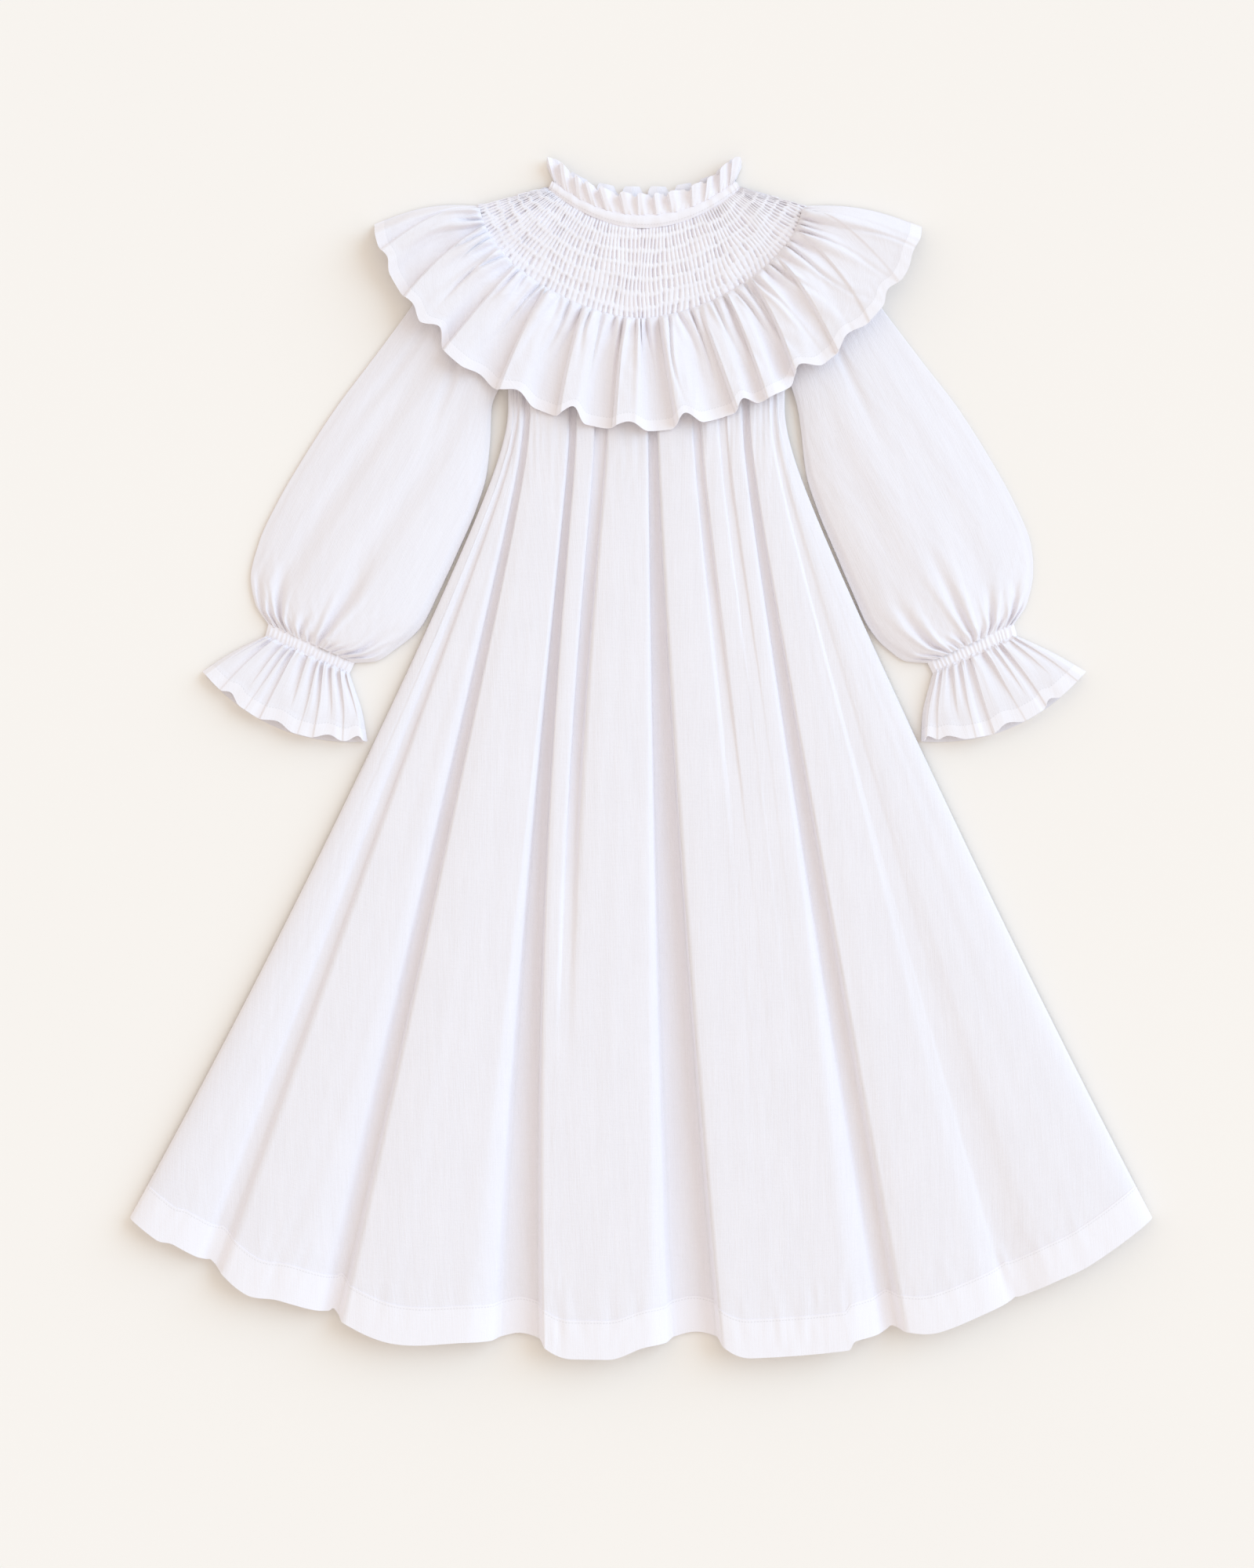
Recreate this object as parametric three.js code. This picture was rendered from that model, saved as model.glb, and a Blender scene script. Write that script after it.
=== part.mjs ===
// Child's peasant dress of fine white cotton, laid flat on its back on a table.
// A smocked yoke under a frilled neck band carries a deep ruffle, bishop sleeves and a long gathered skirt.
// Millimetres. +X runs to the right as seen from above, +Y towards the neck, +Z up from the table.
import * as THREE from 'three';

// Cloth
const CLOTH = 1.0;            // thickness of one layer as a solid
const DOUBLE = 1.5;           // thickness of a doubled band or hem
const SEAM = 0.3;             // clear space between two pieces at a seam or lying on each other
const OVER_ONE = CLOTH + SEAM;
const OVER_TWO = 2 * OVER_ONE;

// Neck
const NECK_X = 2.2;           // middle of the neckline
const NECK_HALF = 66;         // half of the neckline, laid flat
const NECK_Y = 372.6;         // lowest point of the front neckline
const NECK_RISE = 26.4;       // from that point up to the shoulder
const BAND_WIDTH = 8.8;
const BAND_END_WIDTH = 5.5;   // the band foreshortens where it turns at the shoulder
const FRILL_FRONT = 12.5;     // front neck frill seen at the middle
const FRILL_BACK = 19;        // back neck frill stands higher
const FRILL_END = 16;         // both at the shoulder
const FRILL_LEAN = -5;        // the frill's ends lean outwards
const NECK_FLUTES = 12;

// Yoke
const YOKE_Y = 387.4;         // height of the shoulder points
const YOKE_HALF = 113.9;      // half width from shoulder point to shoulder point
const YOKE_DROP = 79.7;       // from the shoulder points down to the lowest point of the seam
const YOKE_FULLNESS = 1.2;    // 1 is an oval, more draws the seam straighter
const PLEATS = 64;
const SMOCK_ROWS = 6;
const PLEAT_RISE = 1.3;

// Ruffle
const RUFFLE_DEPTH = 77;
const RUFFLE_DEPTH_BACK = 70;
const RUFFLE_REACH = 5;       // the right shoulder's fold reaches further out
const RUFFLE_SWING = 80;      // degrees from straight down at the shoulder
const RUFFLE_LIFT = 10.2;     // underside of its free edge above the table
const RUFFLE_PULL = 7;        // a flute that rises draws the free edge back
const RUFFLE_HEAD = 4.7;      // underside of its gathered edge above the table
const RUFFLE_BOW = 5.5;       // rounding of the fold on the shoulder
// One row for each flute: place round the yoke from -1 at the left shoulder to 1 at the right,
// half width in the same measure, rise above the hollows at the free edge.
const RUFFLE_FLUTES = [
  { at: -0.945, half: 0.032, rise: 4.0 },
  { at: -0.855, half: 0.040, rise: 5.5 },
  { at: -0.675, half: 0.050, rise: 6.5 },
  { at: -0.575, half: 0.036, rise: 5.5 },
  { at: -0.335, half: 0.046, rise: 6.5 },
  { at: -0.200, half: 0.040, rise: 6.0 },
  { at: -0.040, half: 0.055, rise: 7.0 },
  { at: 0.140, half: 0.046, rise: 6.5 },
  { at: 0.295, half: 0.046, rise: 7.0 },
  { at: 0.470, half: 0.050, rise: 6.5 },
  { at: 0.650, half: 0.046, rise: 6.0 },
  { at: 0.795, half: 0.042, rise: 5.5 },
  { at: 0.930, half: 0.036, rise: 4.5 },
];

// Bodice
const WAIST_Y = 242.8;        // raised waist seam
const WAIST_LEFT = -90;
const WAIST_RIGHT = 99;
const BODICE_SPAN = 0.90;     // share of the yoke seam that the bodice reaches to each side
const ARMHOLE_SHARE = 0.82;   // share of the bodice's side that is armhole

// Skirt
const HEM_Y = -421;           // lowest point of the hem
const HEM_HALF = 359;         // half width along the hem
const HEM_LIFT = 98;          // the side corners lie so much higher
const HEM_SHARE = 0.958;      // share of the skirt's length above the hem band
const HEM_PULL = 16;          // a hollow fold ends so much higher than a full one
const SKIRT_SEAT = 1.7;       // underside of the front panel where a fold touches the back one
const SKIRT_RISE = [4.6, 12.5, 18];
const SKIRT_LEFT = [-93.5, -218, -359];
const SKIRT_RIGHT = [101, 224, 359];
const SKIRT_STATIONS = [0, 0.025, 0.07, 0.14, 0.24, 0.37, 0.52, 0.7, 0.86, HEM_SHARE];
// One row for each hollow between two folds. Three values are at the waist, half way and at the hem:
// x of its middle, width of its floor, share of the fold's height that it drops.
// The last two are the run of its left and right flank at the hem.
const SKIRT_HOLLOWS = [
  { x: [-86.5, -192, -303], width: [0.8, 9, 17], drop: [0.3, 0.6, 0.8], left: 16, right: 4 },
  { x: [-79.2, -143, -211.5], width: [3.4, 14, 18.5], drop: [0.9, 0.9, 0.85], left: 22, right: 4 },
  { x: [-47.5, -71, -94], width: [4, 14, 48], drop: [0.9, 0.9, 0.9], left: 8, right: 4 },
  { x: [-28, -50, -56], width: [8, 6, 2], drop: [0.8, 0.7, 0], left: 2, right: 5 },
  { x: [9.2, 20.5, 30.3], width: [5.6, 21, 46], drop: [1, 1, 1], left: 5, right: 4 },
  { x: [38.9, 77, 108], width: [4.6, 10, 10], drop: [0.8, 0.3, 0], left: 8, right: 10 },
  { x: [56.7, 98, 131], width: [5, 7, 3], drop: [0.5, 0.1, 0], left: 4, right: 3 },
  { x: [71.4, 126, 165], width: [2.5, 17, 31], drop: [0.9, 0.9, 0.85], left: 4, right: 18 },
  { x: [90, 177, 260], width: [1.2, 13, 17], drop: [0.6, 0.4, 0.4], left: 18, right: 14 },
];
// Height of each fold as a share of the full rise, from the left edge to the right edge.
const SKIRT_FOLDS = [0.5, 0.8, 1, 0.95, 1, 0.95, 0.95, 1, 0.85, 0.5];

// Left sleeve. One row for each section from the armhole to the cuff: outer edge, inner edge,
// height of the underside above the table, rise of the upper layer above its edges,
// and how much further out the right sleeve lies, which is otherwise its mirror image.
const SLEEVE_SECTIONS = [
  { outer: [-139, 349], inner: [-105, 245], seat: OVER_ONE, crown: 2.0, right: 5 },
  { outer: [-162, 315.5], inner: [-106, 224], seat: OVER_ONE, crown: 2.6, right: 7 },
  { outer: [-190, 278], inner: [-108.5, 199.5], seat: 0, crown: 4.2, right: 7.5 },
  { outer: [-214.5, 245.5], inner: [-116.5, 172.5], seat: 0, crown: 4.8, right: 8 },
  { outer: [-237, 211], inner: [-128.5, 145], seat: 0, crown: 5.2, right: 7.5 },
  { outer: [-255.5, 179.5], inner: [-141.5, 117], seat: 0, crown: 5.4, right: 6.5 },
  { outer: [-268.7, 151], inner: [-155, 91], seat: 0, crown: 5.4, right: 5 },
  { outer: [-274.5, 126.5], inner: [-171.5, 76.5], seat: 0, crown: 5.0, right: 1 },
  { outer: [-271.5, 108.5], inner: [-187.5, 67], seat: 0, crown: 4.0, right: 0 },
  { outer: [-262.3, 93.2], inner: [-201.3, 66], seat: 0, crown: 1.8, right: 0 },
];
const SLEEVE_EDGE = 3.0;      // height of the folded side edge
const SLEEVE_GATHERS = 7;
const SLEEVE_GATHER_RISE = 1.8;
// One row for each long soft hollow down the upper layer: place across from the outer to the inner edge
// at the armhole and at the cuff, half width in the same measure, depth.
const SLEEVE_HOLLOWS = [
  { from: 0.30, to: 0.24, half: 0.11, depth: 1.6 },
  { from: 0.66, to: 0.60, half: 0.13, depth: 2.0 },
];

// Left cuff: elastic casing and frill. Bow bends a section outwards at its middle.
const CASING_SECTIONS = [
  { outer: [-262.4, 92.3], inner: [-201.9, 65.2], bow: 0 },
  { outer: [-264.2, 85.6], inner: [-204.8, 59.2], bow: 0 },
];
const CASING_RIBS = 15;
const CASING_RIB_RISE = 0.5;
const CASING_RISE = 1.6;
const CUFF_FLUTES = 9;
const CUFF_FRILL_SECTIONS = [
  { outer: [-264.4, 85.0], inner: [-205.0, 58.6], bow: 0, rise: 1.0, right: 0 },
  { outer: [-273, 81.0], inner: [-202.5, 51], bow: 2, rise: 2.4, right: 0.5 },
  { outer: [-291, 71.5], inner: [-196, 31], bow: 9, rise: 4.2, right: 2 },
  { outer: [-308.4, 60.0], inner: [-192.4, 11.0], bow: 16, rise: 5.0, right: 4.5 },
];

const WHITE = 0xf1eff4;
const HEM_WHITE = 0xf6f5fa;

const lerp = (a, b, t) => a + (b - a) * t;
const degrees = (d) => (d * Math.PI) / 180;
const smooth = (from, to, v) => THREE.MathUtils.smoothstep(v, from, to);
// Even steps from one value to another, both included.
const steps = (from, to, count) => Array.from({ length: count + 1 }, (_, i) => lerp(from, to, i / count));
// Curve through three values at 0, one half and 1.
const through = (v, t) => v[0] * (1 - t) * (1 - 2 * t) + v[1] * 4 * t * (1 - t) + v[2] * t * (2 * t - 1);
// Share of the flare reached along the skirt: it hangs straight just under the waist seam.
const flare = (t) => t - 0.045 * (1 - Math.exp(-t / 0.05)) * (1 - t);
// Soft mound: 1 at the middle, 0 from one half width outwards.
const mound = (distance, half) => (Math.abs(distance) < half ? 0.5 + 0.5 * Math.cos((Math.PI * distance) / half) : 0);

const group = new THREE.Group();

function add(name, points, triangles, colour) {
  const geometry = new THREE.BufferGeometry();
  geometry.setAttribute('position', new THREE.Float32BufferAttribute(points.flatMap((p) => p.toArray()), 3));
  geometry.setIndex(triangles.flat());
  geometry.computeVertexNormals();
  const material = new THREE.MeshStandardMaterial({ color: colour, roughness: 0.9, metalness: 0 });
  const mesh = new THREE.Mesh(geometry, material);
  mesh.name = name;
  group.add(mesh);
}

// Quads of a grid as triangles, facing up when the rows run away from +Y and the columns along +X.
function gridFaces(rows, columns, at, flip, closed) {
  const faces = [];
  const last = closed ? columns : columns - 1;
  for (let i = 0; i + 1 < rows; i++) {
    for (let j = 0; j < last; j++) {
      const [a, b] = [at(i, j), at(i, (j + 1) % columns)];
      const [c, d] = [at(i + 1, j), at(i + 1, (j + 1) % columns)];
      faces.push(...(flip ? [[a, b, d], [a, d, c]] : [[a, d, b], [a, c, d]]));
    }
  }
  return faces;
}

// Strip between two lines of points that may differ in number, the shorter step first.
function zip(lineA, lineB) {
  const faces = [];
  let i = 0;
  let j = 0;
  while (i + 1 < lineA.length || j + 1 < lineB.length) {
    const nextA = (i + 1) / (lineA.length - 1);
    const nextB = (j + 1) / (lineB.length - 1);
    if (j + 1 >= lineB.length || (i + 1 < lineA.length && nextA <= nextB)) {
      faces.push([lineA[i], lineA[i + 1], lineB[j]]);
      i += 1;
    } else {
      faces.push([lineA[i], lineB[j + 1], lineB[j]]);
      j += 1;
    }
  }
  return faces;
}

// Outline of a grid as its four sides, each from corner to corner, going round once.
function sides(grid, first) {
  const numbers = grid.map((row, i) => row.map((_, j) => first + i * row.length + j));
  return [
    numbers[0],
    numbers.map((row) => row[row.length - 1]),
    [...numbers[numbers.length - 1]].reverse(),
    numbers.map((row) => row[0]).reverse(),
  ];
}

// Solid between an upper and a lower grid of points; the two may differ in rows and columns.
function sheet(name, upper, lower, colour) {
  const points = [...upper.flat(), ...lower.flat()];
  const base = upper.length * upper[0].length;
  const faces = [
    ...gridFaces(upper.length, upper[0].length, (i, j) => i * upper[0].length + j, false, false),
    ...gridFaces(lower.length, lower[0].length, (i, j) => base + i * lower[0].length + j, true, false),
  ];
  const [above, below] = [sides(upper, 0), sides(lower, base)];
  above.forEach((line, k) => faces.push(...zip(line, below[k])));
  add(name, points, faces, colour);
}

// The same points moved inwards by the wall, square to the surface.
function inset(grid, wall, closed) {
  const [rows, columns] = [grid.length, grid[0].length];
  const at = (i, j) => grid[i][closed ? (j + columns) % columns : j];
  const normalOf = (i, j) => {
    const [a, b, c, d] = [at(i, j), at(i, j + 1), at(i + 1, j), at(i + 1, j + 1)];
    return d.clone().sub(a).cross(b.clone().sub(c)).normalize();
  };
  return grid.map((row, i) => row.map((point, j) => {
    const around = [];
    for (const p of [i - 1, i]) {
      for (const q of [j - 1, j]) {
        if (p >= 0 && p + 1 < rows && (closed || (q >= 0 && q + 1 < columns))) around.push(normalOf(p, q));
      }
    }
    const normal = around.reduce((sum, n) => sum.add(n), new THREE.Vector3()).normalize();
    const facing = Math.min(...around.map((n) => n.dot(normal)));
    return point.clone().addScaledVector(normal, -wall / Math.max(facing, 0.6));
  }));
}

// Tube of cloth from a row of closed rings.
function tube(name, rings, wall, colour) {
  const inner = inset(rings, wall, true);
  const [rows, columns] = [rings.length, rings[0].length];
  const base = rows * columns;
  const faces = [
    ...gridFaces(rows, columns, (i, j) => i * columns + j, false, true),
    ...gridFaces(rows, columns, (i, j) => base + i * columns + j, true, true),
    ...gridFaces(2, columns, (i, j) => i * base + j, true, true),
    ...gridFaces(2, columns, (i, j) => i * base + (rows - 1) * columns + j, false, true),
  ];
  add(name, [...rings.flat(), ...inner.flat()], faces, colour);
}

// Plan of the neck, yoke and ruffle. Round runs from -1 at the left shoulder to 1 at the right.
const neckLine = (round, up, upEnd, lean) => {
  const s = Math.sin(degrees(90 * round));
  return [NECK_X + (NECK_HALF - lean) * s, NECK_Y + lerp(up, upEnd, Math.abs(s)) + NECK_RISE * s * s];
};
const yokeSeam = (round) => {
  const angle = degrees(90 * round);
  const across = Math.sign(round) * Math.abs(Math.sin(angle)) ** YOKE_FULLNESS;
  return [YOKE_HALF * across, YOKE_Y - YOKE_DROP * Math.max(Math.cos(angle), 0) ** YOKE_FULLNESS];
};
const ruffleAt = (round, distance) => {
  const [x, y] = yokeSeam(round);
  const swing = degrees(RUFFLE_SWING * round);
  return [x + distance * Math.sin(swing), y - distance * Math.cos(swing)];
};
const between = (a, b, t) => [lerp(a[0], b[0], t), lerp(a[1], b[1], t)];
const lift = (plan, z) => new THREE.Vector3(plan[0], plan[1], z);
const lowered = (grid, z) => grid.map((row) => row.map((p) => new THREE.Vector3(p.x, p.y, z)));

// Yoke: pleats raised over a plain inside, pinched at each smocking row.
const yokePoint = (round, down, inset0, inset1) => {
  const [top, seam] = [neckLine(round, -inset0, -inset0, 0), ruffleAt(round, -inset1)];
  return between(top, seam, down);
};
const yokeSeat = (round, down) => {
  const side = 1 - smooth(0.72, 1, Math.abs(round));
  return OVER_ONE + side * lerp(0.6, OVER_ONE, down) + side * 1.2 * Math.sin(Math.PI * down);
};
const smocked = steps(0, 2 * SMOCK_ROWS, 2 * SMOCK_ROWS).map((k) => steps(0, 2 * PLEATS, 2 * PLEATS).map((j) => {
  const [round, down] = [lerp(-1, 1, j / (2 * PLEATS)), k / (2 * SMOCK_ROWS)];
  const pinched = k % 2 === 0 ? 0.55 : 1;
  const rise = (j % 2) * PLEAT_RISE * pinched;
  return lift(yokePoint(round, down, SEAM, SEAM), yokeSeat(round, down) + CLOTH + rise);
}));
const yokeInside = steps(0, 1, 4).map((down) => steps(-1, 1, 32).map((round) => (
  lift(yokePoint(round, down, SEAM, SEAM), yokeSeat(round, down))
)));
sheet('yoke_front', smocked, yokeInside, WHITE);
const yokeBack = steps(0, 1, 3).map((down) => steps(-1, 1, 24).map((round) => (
  lift(yokePoint(round, down, SEAM, SEAM), CLOTH)
)));
sheet('yoke_back', yokeBack, lowered(yokeBack, 0), WHITE);

// Neck band, doubled, a narrow arc above the yoke.
const bandPoint = (round, up) => neckLine(round, BAND_WIDTH * up, BAND_END_WIDTH * up, 2.5 * up);
const bandSeat = (round) => DOUBLE + SEAM + 1.6 * Math.cos(degrees(90 * round));
const bandFront = [1, 0.5, 0].map((up) => steps(-1, 1, 24).map((round) => (
  lift(bandPoint(round, up), bandSeat(round) + DOUBLE + (up === 0.5 ? 0.5 : 0))
)));
const bandUnder = [1, 0.5, 0].map((up) => steps(-1, 1, 24).map((round) => lift(bandPoint(round, up), bandSeat(round))));
sheet('neck_band_front', bandFront, bandUnder, HEM_WHITE);
const bandBack = [1, 0].map((up) => steps(-1, 1, 24).map((round) => lift(bandPoint(round, up), DOUBLE)));
sheet('neck_band_back', bandBack, lowered(bandBack, 0), HEM_WHITE);

// Neck frill: flutes that grow from the band to the free edge.
function neckFrill(name, reach, seat, rise, phase, flat) {
  const rows = [1, 0.55, 0].map((up) => steps(-1, 1, 4 * NECK_FLUTES).map((round, j) => {
    const flute = 0.5 - 0.5 * Math.cos(degrees(90 * j + phase));
    const end = 1 - smooth(0.9, 1, Math.abs(round));
    const height = BAND_WIDTH + 2 * SEAM + (reach - 1.2 * flute) * up;
    const heightEnd = BAND_END_WIDTH + 2 * SEAM + FRILL_END * up;
    const plan = neckLine(round, height, heightEnd, 2.5 + FRILL_LEAN * up);
    return lift(plan, seat(round) + CLOTH + end * flute * lerp(0.6, rise, up));
  }));
  sheet(name, rows, flat ? lowered(rows, 0) : inset(rows, CLOTH, false), HEM_WHITE);
}
const frillSeat = (round) => bandSeat(round) + 0.9 + 1.8 * Math.cos(degrees(90 * round));
neckFrill('neck_frill_front', FRILL_FRONT, frillSeat, 3.4, 0, false);
neckFrill('neck_frill_back', FRILL_BACK, () => 0, 1.5, 180, true);

// Ruffle: hollow flutes that fan out from the seam.
const ruffleColumns = [{ at: -1, rise: 0 }];
for (const flute of RUFFLE_FLUTES) {
  ruffleColumns.push({ at: flute.at - flute.half, rise: 0 });
  ruffleColumns.push({ at: flute.at - 0.5 * flute.half, rise: 0.72 * flute.rise });
  ruffleColumns.push({ at: flute.at, rise: flute.rise });
  ruffleColumns.push({ at: flute.at + 0.5 * flute.half, rise: 0.72 * flute.rise });
  ruffleColumns.push({ at: flute.at + flute.half, rise: 0 });
}
ruffleColumns.push({ at: 1, rise: 0 });
const ruffleRows = [0, 0.07, 0.2, 0.45, 0.75, 1];
const ruffleFront = ruffleRows.map((down) => ruffleColumns.map(({ at, rise }) => {
  const side = 1 - smooth(0.92, 1, Math.abs(at));
  const seat = lerp(OVER_ONE, lerp(RUFFLE_HEAD, RUFFLE_LIFT, smooth(0, 0.3, down)), side);
  const open = lerp(0.3, 1, down);
  const reach = RUFFLE_DEPTH + RUFFLE_REACH * smooth(0.6, 1, at);
  const distance = 2 * SEAM + reach * down - RUFFLE_PULL * (rise / 7) * down ** 3;
  const [x, y] = ruffleAt(at, distance);
  const bow = RUFFLE_BOW * Math.sin(Math.PI * down) * smooth(0.8, 1, Math.abs(at));
  return lift([x, y + bow], seat + CLOTH + rise * open);
}));
sheet('ruffle_front', ruffleFront, inset(ruffleFront, CLOTH, false), WHITE);
const ruffleBack = [0, 0.5, 1].map((down) => steps(-1, 1, 32).map((round) => (
  lift(ruffleAt(round, SEAM + RUFFLE_DEPTH_BACK * down), CLOTH)
)));
sheet('ruffle_back', ruffleBack, lowered(ruffleBack, 0), WHITE);

// Bodice: plain panels from the yoke seam to the raised waist seam, covered by the ruffle.
const bodicePoint = (round, down) => between(
  ruffleAt(round * BODICE_SPAN, 2 * SEAM),
  [lerp(WAIST_LEFT, WAIST_RIGHT, 0.5 + 0.5 * round), WAIST_Y + SEAM],
  down,
);
function bodice(name, seat) {
  const rows = steps(0, 1, 4).map((down) => steps(-1, 1, 22).map((round) => lift(bodicePoint(round, down), seat + CLOTH)));
  sheet(name, rows, lowered(rows, seat), WHITE);
}
bodice('bodice_back', OVER_ONE);
bodice('bodice_front', OVER_TWO);

// Skirt: each fold line runs straight from the waist seam to the hem.
const hemY = (x) => HEM_Y + HEM_LIFT * Math.abs(x / HEM_HALF) ** 3;
const skirtPlan = (x, hemX, t, pull) => [x, lerp(WAIST_Y, hemY(hemX) + pull, t)];
// Columns of the front panel at one station: place, place at the hem, share of the rise, drop of a hollow.
function skirtColumns(t) {
  const place = (pick) => [pick(flare(t)), pick(1)];
  const columns = [];
  const edge = (line, offset, share) => {
    const [x, hem] = place((v) => through(line, v) + offset * lerp(0.25, 1, v));
    columns.push({ x, hem, share, drop: 0 });
  };
  const dome = (left, right, fold) => {
    const [x, hem] = place((v) => 0.5 * (left(v) + right(v)));
    columns.push({ x, hem, share: 1.06 * SKIRT_FOLDS[fold], drop: 0 });
  };
  edge(SKIRT_LEFT, 0, 0);
  edge(SKIRT_LEFT, 3, 0.28);
  edge(SKIRT_LEFT, 12, SKIRT_FOLDS[0]);
  let before = (v) => through(SKIRT_LEFT, v) + 12 * lerp(0.25, 1, v);
  SKIRT_HOLLOWS.forEach((hollow, fold) => {
    const middle = (v) => through(hollow.x, v);
    const half = (v) => 0.5 * through(hollow.width, v);
    const run = (side) => (v) => side * lerp(0.12, 1, v);
    const crestLeft = (v) => middle(v) - half(v) - run(hollow.left)(v);
    const crestRight = (v) => middle(v) + half(v) + run(hollow.right)(v);
    const drop = through(hollow.drop, t);
    const low = Math.min(SKIRT_FOLDS[fold], SKIRT_FOLDS[fold + 1]) * (1 - drop);
    dome(before, crestLeft, fold);
    const marks = [
      [crestLeft, lerp(SKIRT_FOLDS[fold], low, 0.12), 0.25 * drop],
      [(v) => middle(v) - half(v), low, drop],
      [(v) => middle(v) + half(v), low, drop],
      [crestRight, lerp(SKIRT_FOLDS[fold + 1], low, 0.12), 0.25 * drop],
    ];
    for (const [pick, share, down] of marks) {
      const [x, hem] = place(pick);
      columns.push({ x, hem, share, drop: down });
    }
    before = crestRight;
  });
  dome(before, (v) => through(SKIRT_RIGHT, v) - 12 * lerp(0.25, 1, v), SKIRT_FOLDS.length - 1);
  edge(SKIRT_RIGHT, -12, SKIRT_FOLDS[SKIRT_FOLDS.length - 1]);
  edge(SKIRT_RIGHT, -3, 0.28);
  edge(SKIRT_RIGHT, 0, 0);
  return columns;
}
const skirtSeat = (t) => SKIRT_SEAT + OVER_ONE * (1 - smooth(0.03, 0.08, t));
const skirtRow = (t) => skirtColumns(t).map(({ x, hem, share, drop }) => (
  lift(skirtPlan(x, hem, t, HEM_PULL * drop * t * t), skirtSeat(t) + CLOTH + share * through(SKIRT_RISE, t))
));
const hemStations = [HEM_SHARE + SEAM / 280, 0.98, 1];
const frontRows = [...SKIRT_STATIONS, ...hemStations].map(skirtRow);
const frontUnder = inset(frontRows, CLOTH, false);
const hemTop = inset(frontRows, CLOTH - DOUBLE, false);
const count = SKIRT_STATIONS.length;
sheet('skirt_front', frontRows.slice(0, count), frontUnder.slice(0, count), WHITE);
sheet('hem_front', hemTop.slice(count), frontUnder.slice(count), HEM_WHITE);

const backRow = (t, z) => steps(-1, 1, 20).map((side) => {
  const pick = (v) => lerp(through(SKIRT_LEFT, v) + 2.5, through(SKIRT_RIGHT, v) - 2.5, 0.5 + 0.5 * side);
  return lift(skirtPlan(pick(flare(t)), pick(1), t, 2 + HEM_PULL * (1 - side ** 4)), z);
});
const backSeat = (t) => OVER_ONE * (1 - smooth(0.03, 0.08, t));
const backStations = [0, 0.03, 0.08, 0.35, 0.65, HEM_SHARE];
sheet(
  'skirt_back',
  backStations.map((t) => backRow(t, backSeat(t) + CLOTH)),
  backStations.map((t) => backRow(t, backSeat(t))),
  WHITE,
);
const hemBackStations = [HEM_SHARE + SEAM / 280, 1];
sheet(
  'hem_back',
  hemBackStations.map((t) => backRow(t, CLOTH + 0.2)),
  hemBackStations.map((t) => backRow(t, 0)),
  HEM_WHITE,
);

// Ring of a flattened tube: over the top from the outer edge to the inner one, then back underneath.
function ring(outer, inner, bow, aside, side, across, top, seat) {
  const along = [outer[1] - inner[1], inner[0] - outer[0]];
  const length = Math.hypot(...along);
  const plan = (f) => {
    const bend = (-4 * f * (1 - f) * bow) / length;
    const [x, y] = between(outer, inner, f);
    return [side * (x - aside + along[0] * bend), y + along[1] * bend];
  };
  const under = [0.975, 0.8, 0.5, 0.2, 0.025];
  const points = [
    lift(plan(0), seat + SLEEVE_EDGE / 2),
    ...across.map((f, j) => lift(plan(f), seat + top(f, j))),
    lift(plan(1), seat + SLEEVE_EDGE / 2),
    ...under.map((f) => lift(plan(f), seat)),
  ];
  return side < 0 ? points.reverse() : points;
}

// Sleeve: two soft layers, long hollows down the upper one, gathers that spread from the cuff.
const sleeveAcross = [0.02, ...steps(0.06, 0.94, 4 * SLEEVE_GATHERS), 0.98];
function sleeve(name, side) {
  const lastRow = SLEEVE_SECTIONS.length - 1;
  const armholeAt = (down) => {
    const [x, y] = between(bodicePoint(-side, 0), bodicePoint(-side, 1), down);
    return [side * x - 5 * SEAM, y];
  };
  const armhole = { outer: armholeAt(0.06), inner: armholeAt(ARMHOLE_SHARE), seat: OVER_ONE, crown: 0, right: 0 };
  const sections = [armhole, ...SLEEVE_SECTIONS];
  const rings = sections.map(({ outer, inner, seat, crown, right }, i) => {
    const down = Math.max(i - 1, 0) / lastRow;
    const gathered = SLEEVE_GATHER_RISE * smooth(0.55, 0.95, down);
    const top = (f) => {
      const fullness = Math.sin(Math.PI * f) ** 0.7;
      const hollows = SLEEVE_HOLLOWS.map(({ from, to, half, depth }) => (
        depth * mound(f - lerp(from, to, down), half) * smooth(0, 0.3, down) * (1 - smooth(0.75, 1, down))
      ));
      const wave = 0.5 - 0.5 * Math.cos((2 * Math.PI * SLEEVE_GATHERS * (f - 0.06)) / 0.88);
      const inside = f > 0.05 && f < 0.95 ? 1 : 0;
      return SLEEVE_EDGE + crown * fullness - hollows.reduce((sum, h) => sum + h, 0) + inside * gathered * wave;
    };
    const aside = side < 0 ? right : 0;
    return ring(outer, inner, 0, aside, side, sleeveAcross, top, seat);
  });
  tube(name, rings, CLOTH, WHITE);
}

// Elastic casing: fine ribs over the top.
const casingAcross = steps(0.03, 0.97, 2 * CASING_RIBS);
function casing(name, side) {
  const [first, second] = CASING_SECTIONS;
  const rings = [0, 0.5, 1].map((t) => {
    const outer = between(first.outer, second.outer, t);
    const inner = between(first.inner, second.inner, t);
    const belly = t === 0.5 ? 0.5 : 0;
    const top = (f, j) => SLEEVE_EDGE + CASING_RISE * Math.sin(Math.PI * f) ** 0.6 + (j % 2) * CASING_RIB_RISE + belly;
    return ring(outer, inner, 0, 0, side, casingAcross, top, 0);
  });
  tube(name, rings, CLOTH, HEM_WHITE);
}

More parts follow.
